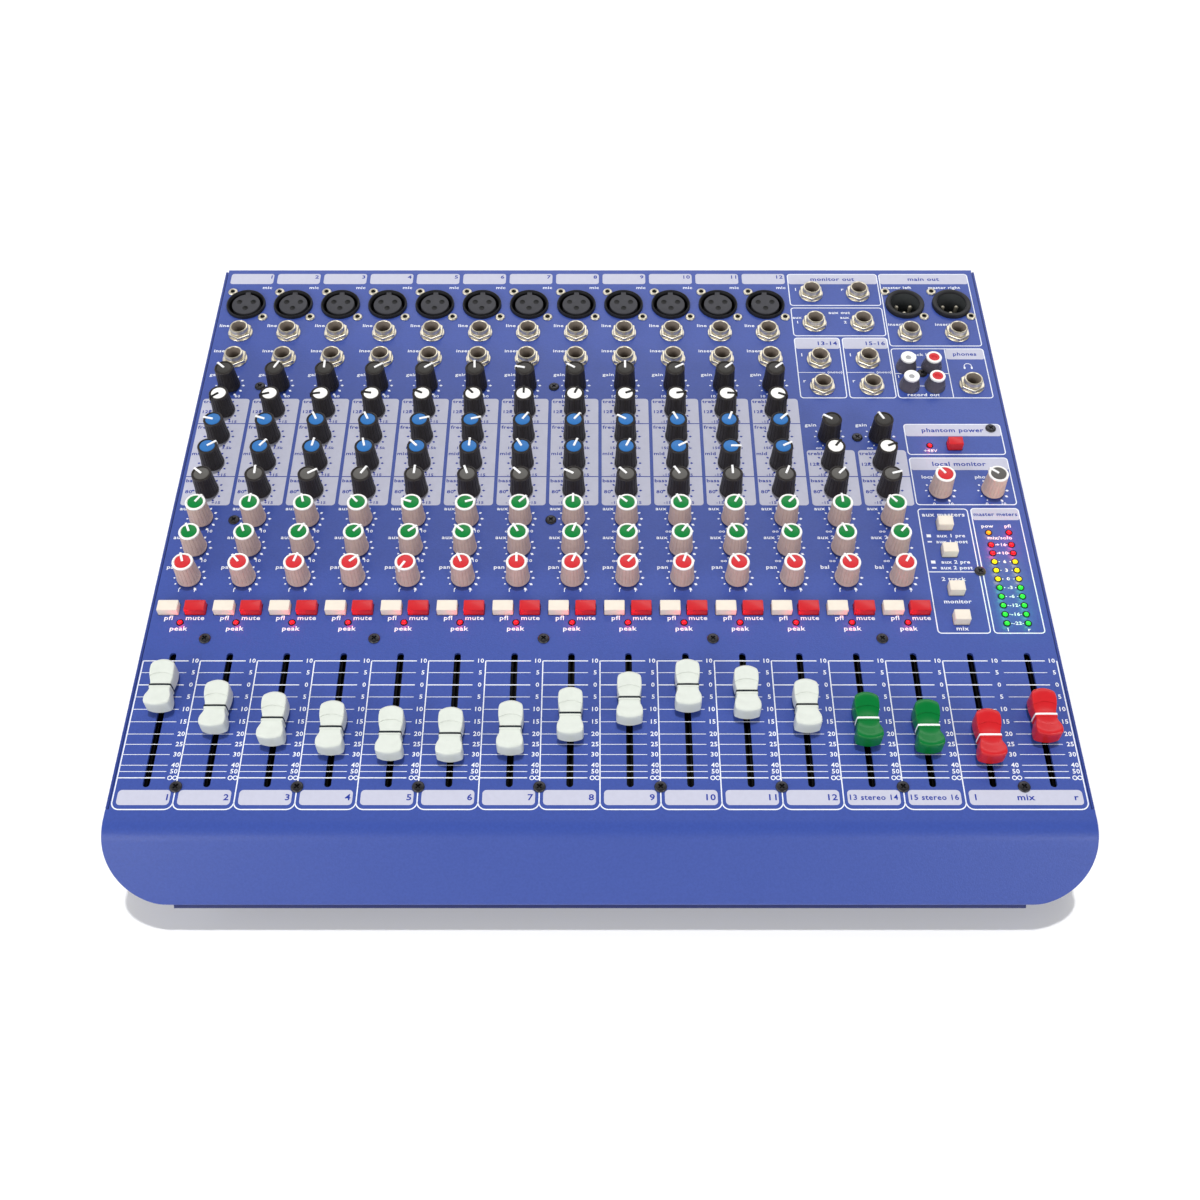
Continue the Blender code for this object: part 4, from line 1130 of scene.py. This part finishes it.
def make_strip_print():
    shape = Shape()
    half = 12.8
    for i, x in enumerate(STRIP_X[: MONO + 2]):
        if i < MONO:
            add_patch(shape, (x - 12.2, x + 13.0), (344.2, 352.8), 1.6)
            add_text(shape, str(i + 1), x + 12.0, 350.0, 3.8, "blue_ink", "right")
        add_patch(shape, (x - half, x + half), (178.3, 253.0) if i < MONO else (178.1, 215.9), 1.8)
    patches = shape.piece("patch_print", "console")
    shape = Shape()
    for i, x in enumerate(STRIP_X[: MONO + 2]):
        for v in (234.8, 197.6) if i < MONO else (197.6,):
            shape.box((x - half, x + half), (v - 0.25, v + 0.25), (0.04, 0.09), "blue_ink")
        strip_print(shape, i)
    printed = shape.piece("strip_print", "console")


def add_header(shape, x, v, words, size=4.0, align="centre", stretch=1.2):
    """A lavender band across the top of a frame with its title in dark ink."""
    add_patch(shape, x, v, 1.4)
    place = {"centre": (x[0] + x[1]) / 2, "right": x[1] - 1.2}[align]
    add_text(shape, words, place, (v[0] + v[1]) / 2, size, "blue_ink", align, stretch)


def master_frames(shape):
    """The outlines of the master section, with their titles and dividing lines."""
    left, right = 164.4, 217.0
    strip = [STRIP_X[0] + (k - 0.5) * PITCH for k in range(MONO, MONO + 3)]
    jacks = (strip[0] + 0.8, strip[2] - 0.8)
    boxes = (
        (jacks, (326.0, 352.7), 343.7, "monitor out"),
        (jacks, (301.3, 324.4), None, ""),
        ((jacks[0], strip[1] - 0.6), (253.4, 300.0), 290.9, "13-14"),
        ((strip[1] + 0.6, jacks[1]), (253.4, 300.0), 290.9, "15-16"),
        ((left, right), (293.2, 352.7), 343.7, "main out"),
        ((left, right), (253.4, 291.5), None, ""),
        ((left, right), (212.6, 234.5), 225.4, "phantom power"),
        ((left, right), (178.4, 210.7), 201.7, "local monitor"),
        ((left, 190.5), (98.7, 176.1), None, ""),
        ((191.8, right), (98.7, 176.4), None, ""),
    )
    for x, v, header, words in boxes:
        add_frame(shape, x, v)
        if header:
            align = "right" if words[0] == "1" else "centre"
            add_header(shape, (x[0] + 0.5, x[1] - 0.5), (header + 0.4, v[1] - 0.5), words, 4.0, align)
    add_header(shape, (195.2, right - 0.5), (283.0, 291.0), "phones", 3.6)
    add_header(shape, (192.3, right - 0.5), (168.6, 175.9), "master meters", 3.3, stretch=1.08)
    add_line(shape, (194.9, 253.6), (194.9, 291.2))
    add_line(shape, (left, 272.0), (194.9, 272.0))
    add_line(shape, (left, 135.7), (190.5, 135.7), 0.5)


def master_words():
    """(words, x, v, size) of the white print on the master section."""
    a, b = STRIP_X[MONO], STRIP_X[MONO + 1]
    rca, leds = sum(RCA_X) / 2, sum(LED_X) / 2
    found = [
        ("l", a - 8.6, 339.5, 3.2),
        ("r", b - 8.6, 339.5, 3.2),
        ("aux out", (a + b) / 2 + 1.4, 320.2, 3.1),
        ("master left", MAIN_X[0] - 2.6, 341.0, 2.9),
        ("master right", MAIN_X[1] - 2, 341.0, 2.9),
        ("2 track in", rca, 286.6, 3.1),
        ("record out", rca, 255.9, 3.1),
        ("l", RCA_X[0] - 5.0, sum(RCA_V) / 2, 2.8),
        ("r", RCA_X[1] + 5.4, sum(RCA_V) / 2, 2.8),
        ("+48V", PHANTOM_LED[0], 215.4, 2.6),
        ("local", 173.0, 197.2, 2.9),
        ("phones", 203.0, 197.2, 2.9),
        ("aux masters", 177.4, 172.0, 3.5),
        ("2 track", MASTER_BUTTON_X, 131.2, 3.2),
        ("monitor", MASTER_BUTTON_X, 117.6, 3.2),
        ("mix", MASTER_BUTTON_X, 101.6, 3.2),
        ("pow", LED_X[0], 164.6, 2.8),
        ("pfl", LED_X[1], 164.6, 2.8),
        ("mix/solo", leds, 157.0, 2.8),
        ("l", LED_X[0], 101.0, 2.8),
        ("r", LED_X[1], 101.0, 2.8),
    ]
    for x, number in ((a, "1"), (b, "2")):
        found += [("aux", x - 9.6, 316.2, 2.8), (number, x - 9.6, 312.4, 2.8), ("l", x - 9.4, 286.4, 3.2)]
        found += [("r", x - 9.4, 266.4, 3.2), ("(mono)", x + 8.0, 273.0, 2.2)]
    found += [("insert", x - 7.0, 310.6, 3.0) for x in MAIN_X]
    numbers = ("-22", "-16", "-12", "-6", "-3", "0", "3", "6", "+10", "+16")
    return found + [(number, leds, v, 2.6) for v, number in zip(LED_V, numbers)]


def make_master_print():
    shape = Shape()
    master_frames(shape)
    for words in master_words():
        add_text(shape, *words)
    for x in STRIP_X[MONO : MONO + 2]:
        add_line(shape, (x - 12.8, 272.9), (x + 2.6, 272.9), 0.32)
    for v in RCA_V:
        add_line(shape, (RCA_X[0] + 5.6, v), (RCA_X[1] - 5.6, v))
    add_headphones(shape, PHONES_JACK[0], 277.6)
    for node in MASTER_POINTERS:
        at = panel_of(JOINT[f"{node}_turn"]["pos_m"])
        add_ticks(shape, at.x, at.y, "white_ink", True)
        add_text(shape, "10", at.x + 4.6, at.y - 8.9, 2.2)
        add_text(shape, "0", at.x - 4.2, at.y - 8.9, 2.2)
    # A tall mark stands for the button out, a flat one for the button pressed
    marks = ((158.4, "aux 1 pre", 0.9), (154.6, "aux 1 post", 0.45))
    marks += ((141.8, "aux 2 pre", 0.9), (138.2, "aux 2 post", 0.45))
    for v, words, half in marks:
        add_text(shape, words, 179.4, v, 2.9)
        shape.box((167.0, 169.2), (v - half, v + half), LINE_N, "white_ink")
    for v in LED_V:
        for x, side in ((LED_X[0], 1), (LED_X[1], -1)):
            add_line(shape, (x + side * 2.1, v), (x + side * 2.7, v), 0.35)
    printed = shape.piece("master_print", "console")


def add_headphones(shape, x, v):
    """A generic headphone sign: a band over two ear pads."""
    add_path(shape, arc(x, v, 2.1, -10, 190, 10), 0.4)
    for side in (-1, 1):
        shape.plate(around(x + side * 2.0, v - 1.1, 0.5, 0.9, 0.3, 2), LINE_N, "white_ink")


# Inside and back


def finish_cad_nodes():
    """Nodes whose CAD shape is shown as it is get their own procedural finish."""
    looks = {
        "main_board": "board_green",
        "fader_board": "board_black",
        "power_supply": "zinc",
        "power_inlet": "socket_black",
        "power_rocker": "socket_black",
    }
    for node, look in looks.items():
        mesh = frame["nodes"][node].data
        mesh.materials.clear()
        mesh.materials.append(MATERIAL[look])


# Stage


SKY_STRENGTH = 0.6
# Half turn from the front horizon to the back one as a share, and the brightness there
SKY_STOPS = ((0.0, 1.0), (0.2, 1.0), (0.3, 0.12), (0.52, 0.12), (0.62, 0.7), (0.8, 1.0), (1.0, 0.9))
LAMP_TINTS = {
    "lamp_red": (1, 0.03, 0.08),
    "lamp_amber": (1, 0.5, 0.05),
    "lamp_yellow": (1, 0.85, 0.1),
    "lamp_green": (0.1, 1, 0.2),
}
RED_GLOW, OTHER_GLOW = 0.0009, 0.0004


def make_stage():
    mesh = bpy.data.meshes.new("studio_floor")
    half = 6.0
    corners = [(-half, -half, 0), (half, -half, 0), (half, half, 0), (-half, half, 0)]
    mesh.from_pydata(corners, [], [(0, 1, 2, 3)])
    made, tree, shader = new_material("studio_floor")
    varied_colour(tree, shader, (0.9, 0.9, 0.9), 0.005, 3)
    shader.inputs["Roughness"].default_value = 0.9
    shader.inputs["Emission Color"].default_value = (1, 1, 1, 1)
    shader.inputs["Emission Strength"].default_value = 0.11
    mesh.materials.append(made)
    new_object("studio_floor", mesh)


def new_light(name, kind, power):
    light = bpy.data.lights.new(name, kind)
    light.energy = power
    return light, new_object(name, light)


def area_light(name, at, target, size, power):
    light, made = new_light(name, "AREA", power)
    light.shape = "RECTANGLE"
    light.size, light.size_y = size
    made.location = at
    made.rotation_euler = (Vector(target) - Vector(at)).to_track_quat("-Z", "Y").to_euler()


def overhead_light(strength):
    """A distant light straight above, which draws the crisp shadow under the front."""
    light, made = new_light("overhead", "SUN", strength)
    light.angle = math.radians(2.5)
    made.rotation_euler = (math.radians(-4), 0, 0)
    made.visible_glossy = False


def make_sky():
    """Studio surround: bright low in front and over the whole back, dark overhead."""
    world = bpy.data.worlds.new("studio")
    bpy.context.scene.world = world
    world.use_nodes = True
    tree = world.node_tree
    link = tree.links.new
    parts = tree.nodes.new("ShaderNodeSeparateXYZ")
    kinds = ("MULTIPLY", "ARCTAN2", "DIVIDE")
    front, angle, share = [add_node(tree, "ShaderNodeMath", operation=kind) for kind in kinds]
    front.inputs[1].default_value = -1
    share.inputs[1].default_value = math.pi
    ramp = tree.nodes.new("ShaderNodeValToRGB")
    elements = ramp.color_ramp.elements
    while len(elements) < len(SKY_STOPS):
        elements.new(0.5)
    for element, (position, grey) in zip(elements, SKY_STOPS):
        element.position = position
        element.color = (grey, grey, grey, 1)
    link(tree.nodes.new("ShaderNodeTexCoord").outputs["Generated"], parts.inputs["Vector"])
    link(parts.outputs["Y"], front.inputs[0])
    link(parts.outputs["Z"], angle.inputs[0])
    link(front.outputs["Value"], angle.inputs[1])
    link(angle.outputs["Value"], share.inputs[0])
    link(share.outputs["Value"], ramp.inputs["Fac"])
    sky = tree.nodes["Background"]
    link(ramp.outputs["Color"], sky.inputs["Color"])
    sky.inputs["Strength"].default_value = SKY_STRENGTH


def make_glow(name, x, v, material):
    """The spill of light that a lit lamp throws on the panel."""
    light, made = new_light(name, "POINT", RED_GLOW if material == "lamp_red" else OTHER_GLOW)
    light.color = LAMP_TINTS[material]
    light.shadow_soft_size = 1.0 * MM
    made.location = PANEL @ (Vector((x, v, 2.8)) * MM)


def make_lights():
    make_sky()
    area_light("front_left_softbox", (-1.7, -2.0, 1.25), (0, 0, 0.05), (1.5, 1.0), 22)
    area_light("front_right_softbox", (1.7, -2.0, 1.25), (0, 0, 0.05), (1.5, 1.0), 17)
    area_light("back_softbox", (0.3, 1.6, 2.0), (0, 0, 0), (2.4, 0.8), 10)
    area_light("side_softbox", (-2.2, -0.4, 1.3), (0, 0, 0), (1.2, 1.2), 8)
    overhead_light(1.85)
    for k, (x, v, material) in enumerate(lamp_places()):
        make_glow(f"glow_{k}", x, v, material)
    scene = bpy.context.scene
    scene.view_settings.view_transform = "Standard"
    scene.view_settings.look = "None"


def make_camera():
    data = bpy.data.cameras.new("camera")
    data.sensor_width = 36.0
    data.lens = 40.92
    camera = new_object("camera", data)
    camera.location = (0, -0.4909, 0.5703)
    camera.rotation_euler = (math.radians(41.3), 0, 0)
    bpy.context.scene.camera = camera


make_panel()
make_lip()
make_tray()
make_feet()
make_screws()
make_jacks()
make_female_xlrs()
make_male_xlrs()
make_rcas()
make_lamps()
make_knobs()
make_buttons()
make_faders()
make_strip_print()
make_fader_print()
make_master_print()
finish_cad_nodes()
make_stage()
make_lights()
make_camera()

bpy.context.view_layer.update()
